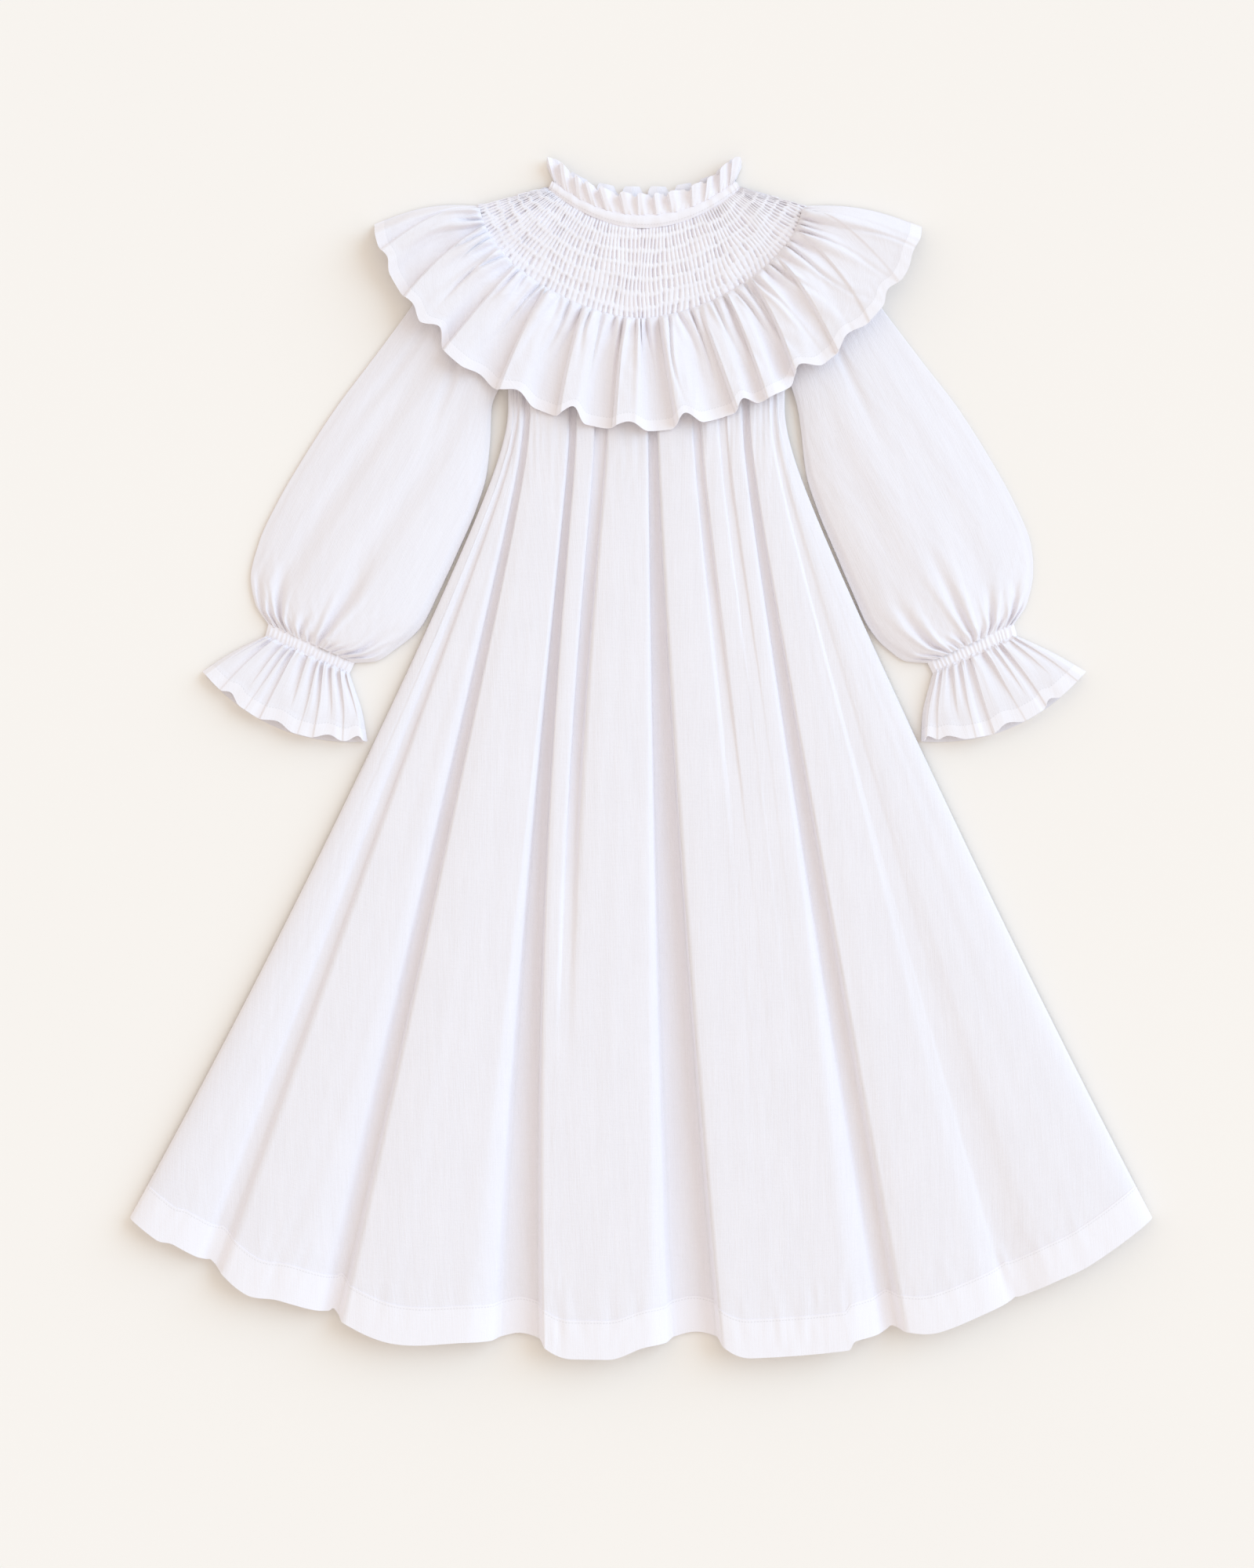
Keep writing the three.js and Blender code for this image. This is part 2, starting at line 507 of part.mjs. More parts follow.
// Cuff frill: flutes that open towards the free edge.
const frillAcross = [0.015, ...steps(0.04, 0.96, 4 * CUFF_FLUTES), 0.985];
function cuffFrill(name, side) {
  const rings = CUFF_FRILL_SECTIONS.map(({ outer, inner, bow, rise, right }) => {
    const top = (f) => {
      const wave = 0.5 - 0.5 * Math.cos((2 * Math.PI * CUFF_FLUTES * (f - 0.04)) / 0.92);
      const inside = f > 0.035 && f < 0.965 ? 1 : 0;
      return SLEEVE_EDGE + 0.8 * Math.sin(Math.PI * f) + inside * rise * wave;
    };
    return ring(outer, inner, bow, side < 0 ? right : 0, side, frillAcross, top, 0);
  });
  tube(name, rings, CLOTH, WHITE);
}
for (const [label, side] of [['left', 1], ['right', -1]]) {
  sleeve('sleeve_' + label, side);
  casing('cuff_' + label, side);
  cuffFrill('cuff_frill_' + label, side);
}

export default group;
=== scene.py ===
import math
import bpy
import numpy as np
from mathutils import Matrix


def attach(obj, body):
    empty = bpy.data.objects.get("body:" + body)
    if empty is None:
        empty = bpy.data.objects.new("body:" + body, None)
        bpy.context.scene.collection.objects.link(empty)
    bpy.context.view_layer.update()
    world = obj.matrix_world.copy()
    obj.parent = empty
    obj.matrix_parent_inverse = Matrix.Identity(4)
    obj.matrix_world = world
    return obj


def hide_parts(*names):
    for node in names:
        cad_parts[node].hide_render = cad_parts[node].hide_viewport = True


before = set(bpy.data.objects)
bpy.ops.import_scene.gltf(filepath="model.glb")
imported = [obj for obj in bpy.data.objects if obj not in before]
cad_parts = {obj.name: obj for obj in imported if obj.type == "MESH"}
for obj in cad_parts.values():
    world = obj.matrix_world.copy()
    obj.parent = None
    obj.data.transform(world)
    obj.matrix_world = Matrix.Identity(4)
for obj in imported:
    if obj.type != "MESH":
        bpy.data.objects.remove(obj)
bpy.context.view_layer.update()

# Table, light and camera. The dress lies on a pale cream table top, seen straight from above.
# One broad, cool and soft light stands low at the upper right, and a warm white room fills the rest.
scene = bpy.context.scene
scene.view_settings.view_transform = "Standard"
MM = 0.001
TABLE_HALF = 4.0
TABLE_DROP = 0.0003    # the table top lies just under the cloth
TABLE_CLOUDS = 0.985   # tone of the darker clouds in the paint
TABLE_CREAM = (0.945, 0.900, 0.856, 1)
ROOM_WARM = (1.0, 0.932, 0.85, 1)
ROOM_STRENGTH = 0.88
KEY_COOL = (0.45, 0.72, 1.0)
KEY_STRENGTH = 1.56
KEY_HEIGHT = 33        # degrees above the table
KEY_TURN = 25          # degrees from +X towards +Y
KEY_SPREAD = 54        # degrees of sky that the light fills
VIEW_HEIGHT = 2.6
VIEW_ACROSS = 1.1      # metres along the picture's long side, at the height of the cloth
CLOTH_HEIGHT = 0.008
VIEW_CENTRE = (-0.0099, -0.0190)
FILM_WIDTH = 36


def new_material(name):
    """A material with its Principled BSDF and its node tree."""
    material = bpy.data.materials.new(name)
    material.use_nodes = True
    return material, material.node_tree, material.node_tree.nodes["Principled BSDF"]


def node(tree, kind, **values):
    """A node of that kind; a value goes to the property or the input socket of that name."""
    made = tree.nodes.new(kind)
    for key, value in values.items():
        if hasattr(made, key):
            setattr(made, key, value)
        else:
            made.inputs[key.replace("_", " ")].default_value = value
    return made


table_mesh = bpy.data.meshes.new("table")
corner = np.array([(-1, -1), (1, -1), (1, 1), (-1, 1)]) * TABLE_HALF
table_mesh.from_pydata(np.c_[corner, np.full(4, -TABLE_DROP)].tolist(), [], [(0, 1, 2, 3)])
table = bpy.data.objects.new("table", table_mesh)
scene.collection.objects.link(table)
table_paint, tree, shader = new_material("table_paint")
place = node(tree, "ShaderNodeTexCoord")
cloudy = node(tree, "ShaderNodeTexNoise", Scale=3.0, Detail=3.0)
tone = node(tree, "ShaderNodeMixRGB")
tone.inputs[1].default_value = tuple(TABLE_CLOUDS * c for c in TABLE_CREAM[:3]) + (1,)
tone.inputs[2].default_value = TABLE_CREAM
tree.links.new(place.outputs["Object"], cloudy.inputs["Vector"])
tree.links.new(cloudy.outputs["Fac"], tone.inputs["Fac"])
tree.links.new(tone.outputs["Color"], shader.inputs["Base Color"])
shader.inputs["Roughness"].default_value = 0.9
shader.inputs["Specular IOR Level"].default_value = 0.1
table_mesh.materials.append(table_paint)

world = bpy.data.worlds.new("room")
scene.world = world
world.use_nodes = True
world.node_tree.nodes["Background"].inputs["Color"].default_value = ROOM_WARM
world.node_tree.nodes["Background"].inputs["Strength"].default_value = ROOM_STRENGTH
key_data = bpy.data.lights.new("key", "SUN")
key_data.energy = KEY_STRENGTH
key_data.color = KEY_COOL
key_data.angle = math.radians(KEY_SPREAD)
key_light = bpy.data.objects.new("key", key_data)
key_light.rotation_euler = (0, math.radians(90 - KEY_HEIGHT), math.radians(KEY_TURN))
scene.collection.objects.link(key_light)

camera_data = bpy.data.cameras.new("camera")
camera_data.sensor_width = FILM_WIDTH
camera_data.lens = FILM_WIDTH * (VIEW_HEIGHT - CLOTH_HEIGHT) / VIEW_ACROSS
camera = bpy.data.objects.new("camera", camera_data)
camera.location = (*VIEW_CENTRE, VIEW_HEIGHT)
scene.collection.objects.link(camera)
scene.camera = camera

# Back of the dress. Plain panels of the same cotton, pressed flat under the front by its weight:
# yoke, neck band, ruffle, bodice, skirt and the doubled hem, joined by narrow seams.
CLOTH = 1.0            # millimetres from here on: height taken up by one layer,
DOUBLE = 1.5           # by a doubled one,
SEAM = 0.3             # and the gap between neighbours
OVER_ONE = CLOTH + SEAM
BAND_WALL, BACK_HEM_WALL = 1.2, 1.1
NECK_X, NECK_HALF, NECK_Y, NECK_RISE = 2.2, 66.0, 372.6, 26.4
BAND_WIDTH, BAND_END_WIDTH, BAND_LEAN = 8.8, 5.5, 2.5
YOKE_Y, YOKE_HALF, YOKE_DROP, YOKE_FULLNESS = 387.4, 113.9, 79.7, 1.2
RUFFLE_SWING, RUFFLE_DEPTH_BACK = 80.0, 70.0
WAIST_Y, WAIST_LEFT, WAIST_RIGHT, BODICE_SPAN = 242.8, -90.0, 99.0, 0.90
HEM_Y, HEM_HALF, HEM_LIFT, HEM_PULL, HEM_SHARE = -421.0, 359.0, 98.0, 17.0, 0.958
HEM_START = HEM_SHARE + SEAM / 280   # share of the skirt's length at which the hem's own band starts
SKIRT_LEFT, SKIRT_RIGHT = (-93.5, -218.0, -359.0), (101.0, 224.0, 359.0)
WAIST_STEP = (0.03, 0.08)            # shares of the length over which the skirt comes down off the bodice
BACK_INSET, BACK_SHORTER, BACK_HEM_LIFT = 2.5, 2.0, 0.2
COTTON = (0.897, 0.868, 0.912, 1)
COTTON_SHADE = (0.857, 0.826, 0.866, 1)
COTTON_DOUBLE = (0.935, 0.906, 0.950, 1)
DOUBLE_SHARE = 0.8     # how far a doubled layer goes towards its own white
HEM_SHADE_STEP = 0.0007
WEAVE_LAYERS = (
    # tightness of the noise across and along the cloth, per metre, and its share of the shade
    ((1150, 45, 1), 0.30),
    ((70, 1150, 1), 0.16),
    ((520, 520, 1), 0.14),
    ((240, 12, 1), 0.22),
    ((34, 26, 1), 0.18),
)
WEAVE_LOW, WEAVE_HIGH = 0.36, 0.64
STITCH_PITCH, STITCH_HALF_WIDTH = 0.0022, 0.0004
STITCH_GAP, STITCH_SHADE, STITCH_SINK = -0.4, 0.94, -0.4


def smooth(low, high, v):
    """Soft step from 0 at low to 1 at high: 3s squared minus 2s cubed."""
    s = np.clip((v - low) / (high - low), 0, 1)
    return s * s * (3 - 2 * s)


def through(values, t):
    """Parabola through three values, at 0, one half and 1."""
    a, b, c = values
    return a * (1 - t) * (1 - 2 * t) + b * 4 * t * (1 - t) + c * t * (2 * t - 1)


def flare(t):
    """Share of the skirt's flare reached at t: it hangs straight just under the waist seam."""
    return t - 0.045 * (1 - np.exp(-t / 0.05)) * (1 - t)


def neck_line(turn, up, up_end, lean):
    """Line along the neck at a height above the neckline: half a sine wide, a square of it high."""
    s = np.sin(np.radians(90 * turn))
    rise = up + (up_end - up) * np.abs(s) + NECK_RISE * s * s
    return np.stack([NECK_X + (NECK_HALF - lean) * s, NECK_Y + rise], -1)


def ruffle_at(turn, distance):
    """Point at a distance out from the yoke seam: a half oval, and a ray that swings round with it."""
    angle, swing = np.radians(90 * turn), np.radians(RUFFLE_SWING * turn)
    x = YOKE_HALF * np.sign(turn) * np.abs(np.sin(angle)) ** YOKE_FULLNESS
    y = YOKE_Y - YOKE_DROP * np.maximum(np.cos(angle), 0) ** YOKE_FULLNESS
    return np.stack([x + distance * np.sin(swing), y - distance * np.cos(swing)], -1)


def hem_y(x):
    """Height of the hem: lowest at the middle, up with the cube of the distance from it."""
    return HEM_Y + HEM_LIFT * np.abs(x / HEM_HALF) ** 3


def mix(a, b, t):
    """From a to b by the share t, for points."""
    return a + (b - a) * np.asarray(t)[..., None]


def ripple(u, v, seed, across, along, waves=16):
    """Soft random unevenness: sine waves of many lengths about across and along added up, about 1 high."""
    chance = np.random.default_rng(seed)
    total = np.zeros(np.broadcast(u, v).shape)
    for _ in range(waves):
        length = np.array([across, along]) * chance.uniform(0.6, 1.9, 2) * chance.choice([-1, 1], 2)
        total += np.sin(2 * math.pi * (u / length[0] + v / length[1]) + chance.uniform(0, 6.3))
    return total / math.sqrt(waves / 2)


def weave_group():
    """Slubby plain weave: noises drawn out along the warp and the weft, added up by their shares and
    stretched to a shade from 0 to 1, which is the height too."""
    group = bpy.data.node_groups.new("slubby_weave", "ShaderNodeTree")
    group.interface.new_socket("Place", in_out="INPUT", socket_type="NodeSocketVector")
    group.interface.new_socket("Shade", in_out="OUTPUT", socket_type="NodeSocketFloat")
    group.interface.new_socket("Height", in_out="OUTPUT", socket_type="NodeSocketFloat")
    start, end = group.nodes.new("NodeGroupInput"), group.nodes.new("NodeGroupOutput")
    total = None
    for stretch, weight in WEAVE_LAYERS:
        scaled = node(group, "ShaderNodeVectorMath", operation="MULTIPLY")
        scaled.inputs[1].default_value = stretch
        noise = node(group, "ShaderNodeTexNoise", noise_dimensions="2D", Scale=1.0, Detail=2.0, Roughness=0.6)
        group.links.new(start.outputs["Place"], scaled.inputs[0])
        group.links.new(scaled.outputs[0], noise.inputs["Vector"])
        part = node(group, "ShaderNodeMath", operation="MULTIPLY_ADD")
        part.inputs[1].default_value = weight
        part.inputs[2].default_value = 0
        group.links.new(noise.outputs["Fac"], part.inputs[0])
        if total:
            group.links.new(total, part.inputs[2])
        total = part.outputs[0]
    contrast = node(group, "ShaderNodeMapRange")
    contrast.inputs["From Min"].default_value = WEAVE_LOW
    contrast.inputs["From Max"].default_value = WEAVE_HIGH
    group.links.new(total, contrast.inputs["Value"])
    group.links.new(contrast.outputs[0], end.inputs["Shade"])
    group.links.new(contrast.outputs[0], end.inputs["Height"])
    return group


def stitch_group():
    """Row of stitches across the cloth: short dashes along u where v lies within a thread of the row."""
    group = bpy.data.node_groups.new("stitch_row", "ShaderNodeTree")
    group.interface.new_socket("Place", in_out="INPUT", socket_type="NodeSocketVector")
    group.interface.new_socket("Row", in_out="INPUT", socket_type="NodeSocketFloat")
    group.interface.new_socket("Mask", in_out="OUTPUT", socket_type="NodeSocketFloat")
    start, end = group.nodes.new("NodeGroupInput"), group.nodes.new("NodeGroupOutput")
    parts = node(group, "ShaderNodeSeparateXYZ")
    group.links.new(start.outputs["Place"], parts.inputs[0])
    away = node(group, "ShaderNodeMath", operation="SUBTRACT")
    group.links.new(parts.outputs["Y"], away.inputs[0])
    group.links.new(start.outputs["Row"], away.inputs[1])
    near = node(group, "ShaderNodeMath", operation="COMPARE")
    near.inputs[1].default_value = 0
    near.inputs[2].default_value = STITCH_HALF_WIDTH
    group.links.new(away.outputs[0], near.inputs[0])
    turn = node(group, "ShaderNodeMath", operation="MULTIPLY")
    turn.inputs[1].default_value = 2 * math.pi / STITCH_PITCH
    group.links.new(parts.outputs["X"], turn.inputs[0])
    wave = node(group, "ShaderNodeMath", operation="SINE")
    group.links.new(turn.outputs[0], wave.inputs[0])
    dash = node(group, "ShaderNodeMath", operation="GREATER_THAN")
    dash.inputs[1].default_value = STITCH_GAP
    group.links.new(wave.outputs[0], dash.inputs[0])
    both = node(group, "ShaderNodeMath", operation="MULTIPLY")
    group.links.new(near.outputs[0], both.inputs[0])
    group.links.new(dash.outputs[0], both.inputs[1])
    group.links.new(both.outputs[0], end.inputs["Mask"])
    return group


WEAVE, STITCHES = weave_group(), stitch_group()


def cotton(name, hem_from=None, doubled=False, stitch_at=None):
    """White cotton: the weave shades the colour and raises a fine bump. From hem_from down the cloth it is
    doubled and so whiter, and at stitch_at a row of stitches sinks in."""
    material, tree, shader = new_material(name)
    place = node(tree, "ShaderNodeTexCoord")
    weave = node(tree, "ShaderNodeGroup", node_tree=WEAVE)
    tree.links.new(place.outputs["UV"], weave.inputs["Place"])
    thread = node(tree, "ShaderNodeMixRGB")
    thread.inputs[1].default_value = COTTON_SHADE
    thread.inputs[2].default_value = COTTON
    tree.links.new(weave.outputs["Shade"], thread.inputs["Fac"])
    colour = thread.outputs["Color"]
    if doubled or hem_from is not None:
        whiter = node(tree, "ShaderNodeMixRGB")
        whiter.inputs["Fac"].default_value = DOUBLE_SHARE
        whiter.inputs[2].default_value = COTTON_DOUBLE
        tree.links.new(colour, whiter.inputs[1])
        if hem_from is not None:
            parts = node(tree, "ShaderNodeSeparateXYZ")
            tree.links.new(place.outputs["UV"], parts.inputs[0])
            band = node(tree, "ShaderNodeMapRange")
            band.inputs["From Min"].default_value = hem_from
            band.inputs["From Max"].default_value = hem_from + HEM_SHADE_STEP
            band.inputs["To Max"].default_value = DOUBLE_SHARE
            tree.links.new(parts.outputs["Y"], band.inputs["Value"])
            tree.links.new(band.outputs[0], whiter.inputs["Fac"])
        colour = whiter.outputs["Color"]
    height = weave.outputs["Height"]
    if stitch_at is not None:
        row = node(tree, "ShaderNodeGroup", node_tree=STITCHES)
        row.inputs["Row"].default_value = stitch_at
        tree.links.new(place.outputs["UV"], row.inputs["Place"])
        dark = node(tree, "ShaderNodeMixRGB")
        dark.inputs[2].default_value = tuple(STITCH_SHADE * c for c in COTTON[:3]) + (1,)
        tree.links.new(row.outputs["Mask"], dark.inputs["Fac"])
        tree.links.new(colour, dark.inputs[1])
        colour = dark.outputs["Color"]
        sunk = node(tree, "ShaderNodeMath", operation="MULTIPLY_ADD")
        tree.links.new(row.outputs["Mask"], sunk.inputs[0])
        sunk.inputs[1].default_value = STITCH_SINK
        tree.links.new(height, sunk.inputs[2])
        height = sunk.outputs[0]
    bump = node(tree, "ShaderNodeBump", Strength=0.35, Distance=0.0004)
    tree.links.new(height, bump.inputs["Height"])
    tree.links.new(colour, shader.inputs["Base Color"])
    tree.links.new(bump.outputs["Normal"], shader.inputs["Normal"])
    rough = node(tree, "ShaderNodeMapRange")
    rough.inputs["To Min"].default_value = 0.95
    rough.inputs["To Max"].default_value = 0.82
    tree.links.new(weave.outputs["Shade"], rough.inputs["Value"])
    tree.links.new(rough.outputs[0], shader.inputs["Roughness"])
    shader.inputs["Specular IOR Level"].default_value = 0.2
    shader.inputs["Sheen Weight"].default_value = 0.12
    return material


def lengths(points, axis):
    """Distance run along the points of each line of a grid, in metres, from its start."""
    step = np.linalg.norm(np.diff(points, axis=axis), axis=-1)
    first = np.zeros_like(np.take(step, [0], axis=axis))
    return np.concatenate([first, np.cumsum(step, axis=axis)], axis=axis) * MM


def cloth(name, points, cad_node, material, wall=0.7, down=None, closed=False):
    """Sheet or tube of cloth from a grid of points in millimetres: rows run down the dress, columns across.
    Its UV map is the flat cloth in metres, so the weave follows the folds. The wall's thickness goes inside,
    and the rim is kept sharp."""
    rows, columns = points.shape[:2]
    spread = np.concatenate([points, points[:, :1]], 1) if closed else points
    u = lengths(spread, 1)
    u = u - u[:, [u.shape[1] // 2]]
    v = lengths(spread, 0) if down is None else np.broadcast_to(down[:, None] * MM, u.shape)
    i, j = np.meshgrid(np.arange(rows - 1), np.arange(u.shape[1] - 1), indexing="ij")
    ring = [(i, j), (i + 1, j), (i + 1, j + 1), (i, j + 1)]
    corners = np.stack([a * columns + b % columns for a, b in ring], -1).reshape(-1)
    flat = np.stack([np.stack([u[a, b], v[a, b]], -1) for a, b in ring], -2).reshape(-1)
    mesh = bpy.data.meshes.new(name)
    mesh.vertices.add(rows * columns)
    mesh.vertices.foreach_set("co", (points * MM).reshape(-1))
    mesh.loops.add(len(corners))
    mesh.loops.foreach_set("vertex_index", corners)
    mesh.polygons.add(len(corners) // 4)
    mesh.polygons.foreach_set("loop_start", np.arange(0, len(corners), 4))
    mesh.update(calc_edges=True)
    mesh.uv_layers.new(name="cloth").data.foreach_set("uv", flat)
    mesh.shade_smooth()
    edges = np.zeros(len(corners), dtype=np.int32)
    mesh.loops.foreach_get("edge_index", edges)
    rim = np.bincount(edges, minlength=len(mesh.edges)) == 1
    mesh.attributes.new("sharp_edge", "BOOLEAN", "EDGE").data.foreach_set("value", rim)
    mesh.materials.append(material)
    piece = bpy.data.objects.new(name, mesh)
    scene.collection.objects.link(piece)
    thick = piece.modifiers.new("wall", "SOLIDIFY")
    thick.thickness = wall * MM
    thick.offset = -1
    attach(piece, "root")
    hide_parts(cad_node)
    return piece


def raised(plan, z):
    """Points of a plan at the heights z."""
    return np.concatenate([plan, np.broadcast_to(z, plan.shape[:-1])[..., None]], -1)


single, double = cotton("cotton"), cotton("cotton_doubled", doubled=True)
turn, share = np.linspace(-1, 1, 97)[None, :], np.linspace(0, 1, 13)[:, None]
neck_edge, seam_edge = neck_line(turn, -SEAM, -SEAM, 0), ruffle_at(turn, -SEAM + 0 * turn)
yoke_back = cloth("back_yoke", raised(mix(neck_edge, seam_edge, share * np.ones_like(turn)), CLOTH),
                  "yoke_back", single)
band_plan = neck_line(turn, *(size * (1 - share) for size in (BAND_WIDTH, BAND_END_WIDTH, BAND_LEAN)))
band_points = raised(band_plan, DOUBLE)
band_back = cloth("back_neck_band", band_points, "neck_band_back", double, BAND_WALL)
ruffle_plan = ruffle_at(turn * np.ones_like(share), 2 * SEAM + RUFFLE_DEPTH_BACK * share)
ruffle_back = cloth("back_ruffle", raised(ruffle_plan, CLOTH), "ruffle_back", single)
waist_x = np.interp(turn, (-1, 1), (WAIST_LEFT, WAIST_RIGHT))
waist = np.stack([waist_x, np.full_like(turn, WAIST_Y + SEAM)], -1)
bodice_plan = mix(ruffle_at(BODICE_SPAN * turn, 2 * SEAM + 0 * turn), waist, share * np.ones_like(turn))
bodice_back = cloth("back_bodice", raised(bodice_plan, OVER_ONE + CLOTH), "bodice_back",
                    single)


def back_panel(t):
    """Back of the skirt at the stations t: straight lines from the waist to a hem just inside the front's."""
    side = np.linspace(-1, 1, 65)[None, :]
    across = 0.5 + 0.5 * side
    at = lambda v: ((through(SKIRT_LEFT, v) + BACK_INSET) * (1 - across)
                    + (through(SKIRT_RIGHT, v) - BACK_INSET) * across)
    t = t[:, None]
    low = hem_y(at(np.ones_like(t))) + BACK_SHORTER + HEM_PULL * (1 - side ** 4)
    lift = OVER_ONE * (1 - smooth(*WAIST_STEP, t))
    return np.stack([at(flare(t)), WAIST_Y + (low - WAIST_Y) * t, CLOTH + lift + 0 * across], -1)


skirt_rows = back_panel(np.linspace(0, HEM_SHARE, 45))
skirt_back = cloth("back_skirt", skirt_rows, "skirt_back", single)
hem_rows = back_panel(np.linspace(HEM_START, 1, 9)) + (0, 0, BACK_HEM_LIFT)
hem_back = cloth("back_hem", hem_rows, "hem_back", double, BACK_HEM_WALL)

# Front of the skirt. A wide flared panel gathered into the raised waist seam; its fullness falls in
# long folds that open out towards the hem, deep hollows between them.
SKIRT_SEAT = 1.7
SKIRT_RISE = (5.2, 14.0, 18.0)
SKIRT_HOLLOWS = [
    # middle at the waist, half way and at the hem, and so its floor's width and its drop;
    # run of the left and right flank at the hem; shares of the length over which it dies away
    dict(x=(-86.5, -196, -302), width=(0.8, 6, 8), drop=(0.3, 0.45, 0.6), left=22, right=5),
    dict(x=(-79.9, -147.5, -216), width=(3.4, 7, 6), drop=(0.9, 0.8, 0.75), left=34, right=4),
    dict(x=(-47.5, -73.5, -85), width=(4, 11, 26), drop=(0.9, 0.9, 0.9), left=26, right=4),
    dict(x=(-28, -51, -55), width=(8, 6, 6), drop=(0.8, 0.75, 0.7), left=8, right=12, fade=(0.2, 0.72)),
    dict(x=(8.2, 20.5, 38), width=(5.6, 18, 30), drop=(1, 1, 1), left=20, right=4),
    dict(x=(38.9, 74, 105), width=(4.6, 8, 8), drop=(0.7, 0.5, 0.4), left=20, right=8, fade=(0.05, 0.5)),
    dict(x=(56.7, 98, 131), width=(5, 7, 3), drop=(0.35, 0.25, 0.2), left=10, right=10, fade=(0.02, 0.35)),
    dict(x=(73.5, 124, 175.5), width=(4, 9, 8), drop=(0.8, 0.65, 0.65), left=22, right=6),
    dict(x=(92, 177, 262), width=(1.2, 8, 6), drop=(0.3, 0.10, 0.30), left=18, right=26),
]
NO_FADE = (2, 3)       # past the hem, so that the hollow runs right through
FLANK_AT_WAIST = 0.10  # share of a flank's run that is left at the waist
# Shares of a hollow's drop by which its lines sink and by which they pull up the hem; the bend lies at a
# share of the left flank, and its fall is less in a deep hollow, whose flank is steeper below it.
CREST_FALL_LEFT, CREST_FALL_RIGHT, FLOOR_FALL = 0.04, 0.06, 0.97
BEND_AT, BEND_FALL, BEND_EASE = 0.28, 0.71, 0.41
CREST_PULL, BEND_PULL, FLOOR_PULL = 0.5, 0.65, 0.8
SKIRT_SIDE = ((0, 0), (0.5, 0.42), (2.5, 0.76), (12, 1))   # distance in from the side, share of the rise
SKIRT_BODY = (
    # places along the hem, and the share of the rise that the folds have there
    (-359, -257, -153, -75, -13, 70, 120, 212, 310, 359),
    (0.62, 0.8, 1, 0.95, 1, 0.97, 0.97, 1, 0.85, 0.62),
)
STREAK_RISE, CRUMPLE_RISE, PUCKER_RISE, GATHER_RISE = 0.07, 0.05, 0.20, 0.25
PUCKER_REACH = 20 / 660
HEM_ROUND = 20.0
SKIRT_PITCH = 3.0      # about the distance between columns at the hem


def slopes(x, y):
    """Slope at each point of a table, row by row: the harmonic mean of the slopes beside it, and 0 at a high
    or low point."""
    step = np.diff(y, axis=-1) / np.diff(x, axis=-1)
    before, after = step[..., :-1], step[..., 1:]
    level = before * after <= 0
    inner = np.where(level, 0, 2 * before * after / np.where(level, 1, before + after))
    return np.concatenate([step[..., :1], inner, step[..., -1:]], -1)


def smooth_run(x, y, k, s):
    """Cubic curve through the table y over x, at the share s of its interval k, with no overshoot."""
    m, h = slopes(x, y), np.diff(x, axis=-1)[..., k]
    y0, y1, m0, m1 = y[..., k], y[..., k + 1], m[..., k] * h, m[..., k + 1] * h
    return (y0 * (1 + 2 * s) * (1 - s) ** 2 + m0 * s * (1 - s) ** 2
            + y1 * s * s * (3 - 2 * s) - m1 * s * s * (1 - s))


def between(lines, pitch, low, high):
    """Columns between lines: the number of the line before each, and the share of the way to the next."""
    count = np.clip(np.round(np.diff(lines) / pitch), low, high).astype(int)
    k = np.concatenate([np.repeat(np.arange(len(count)), count), [len(count) - 1]])
    return k, np.concatenate([np.arange(n) / n for n in count] + [[1.0]])


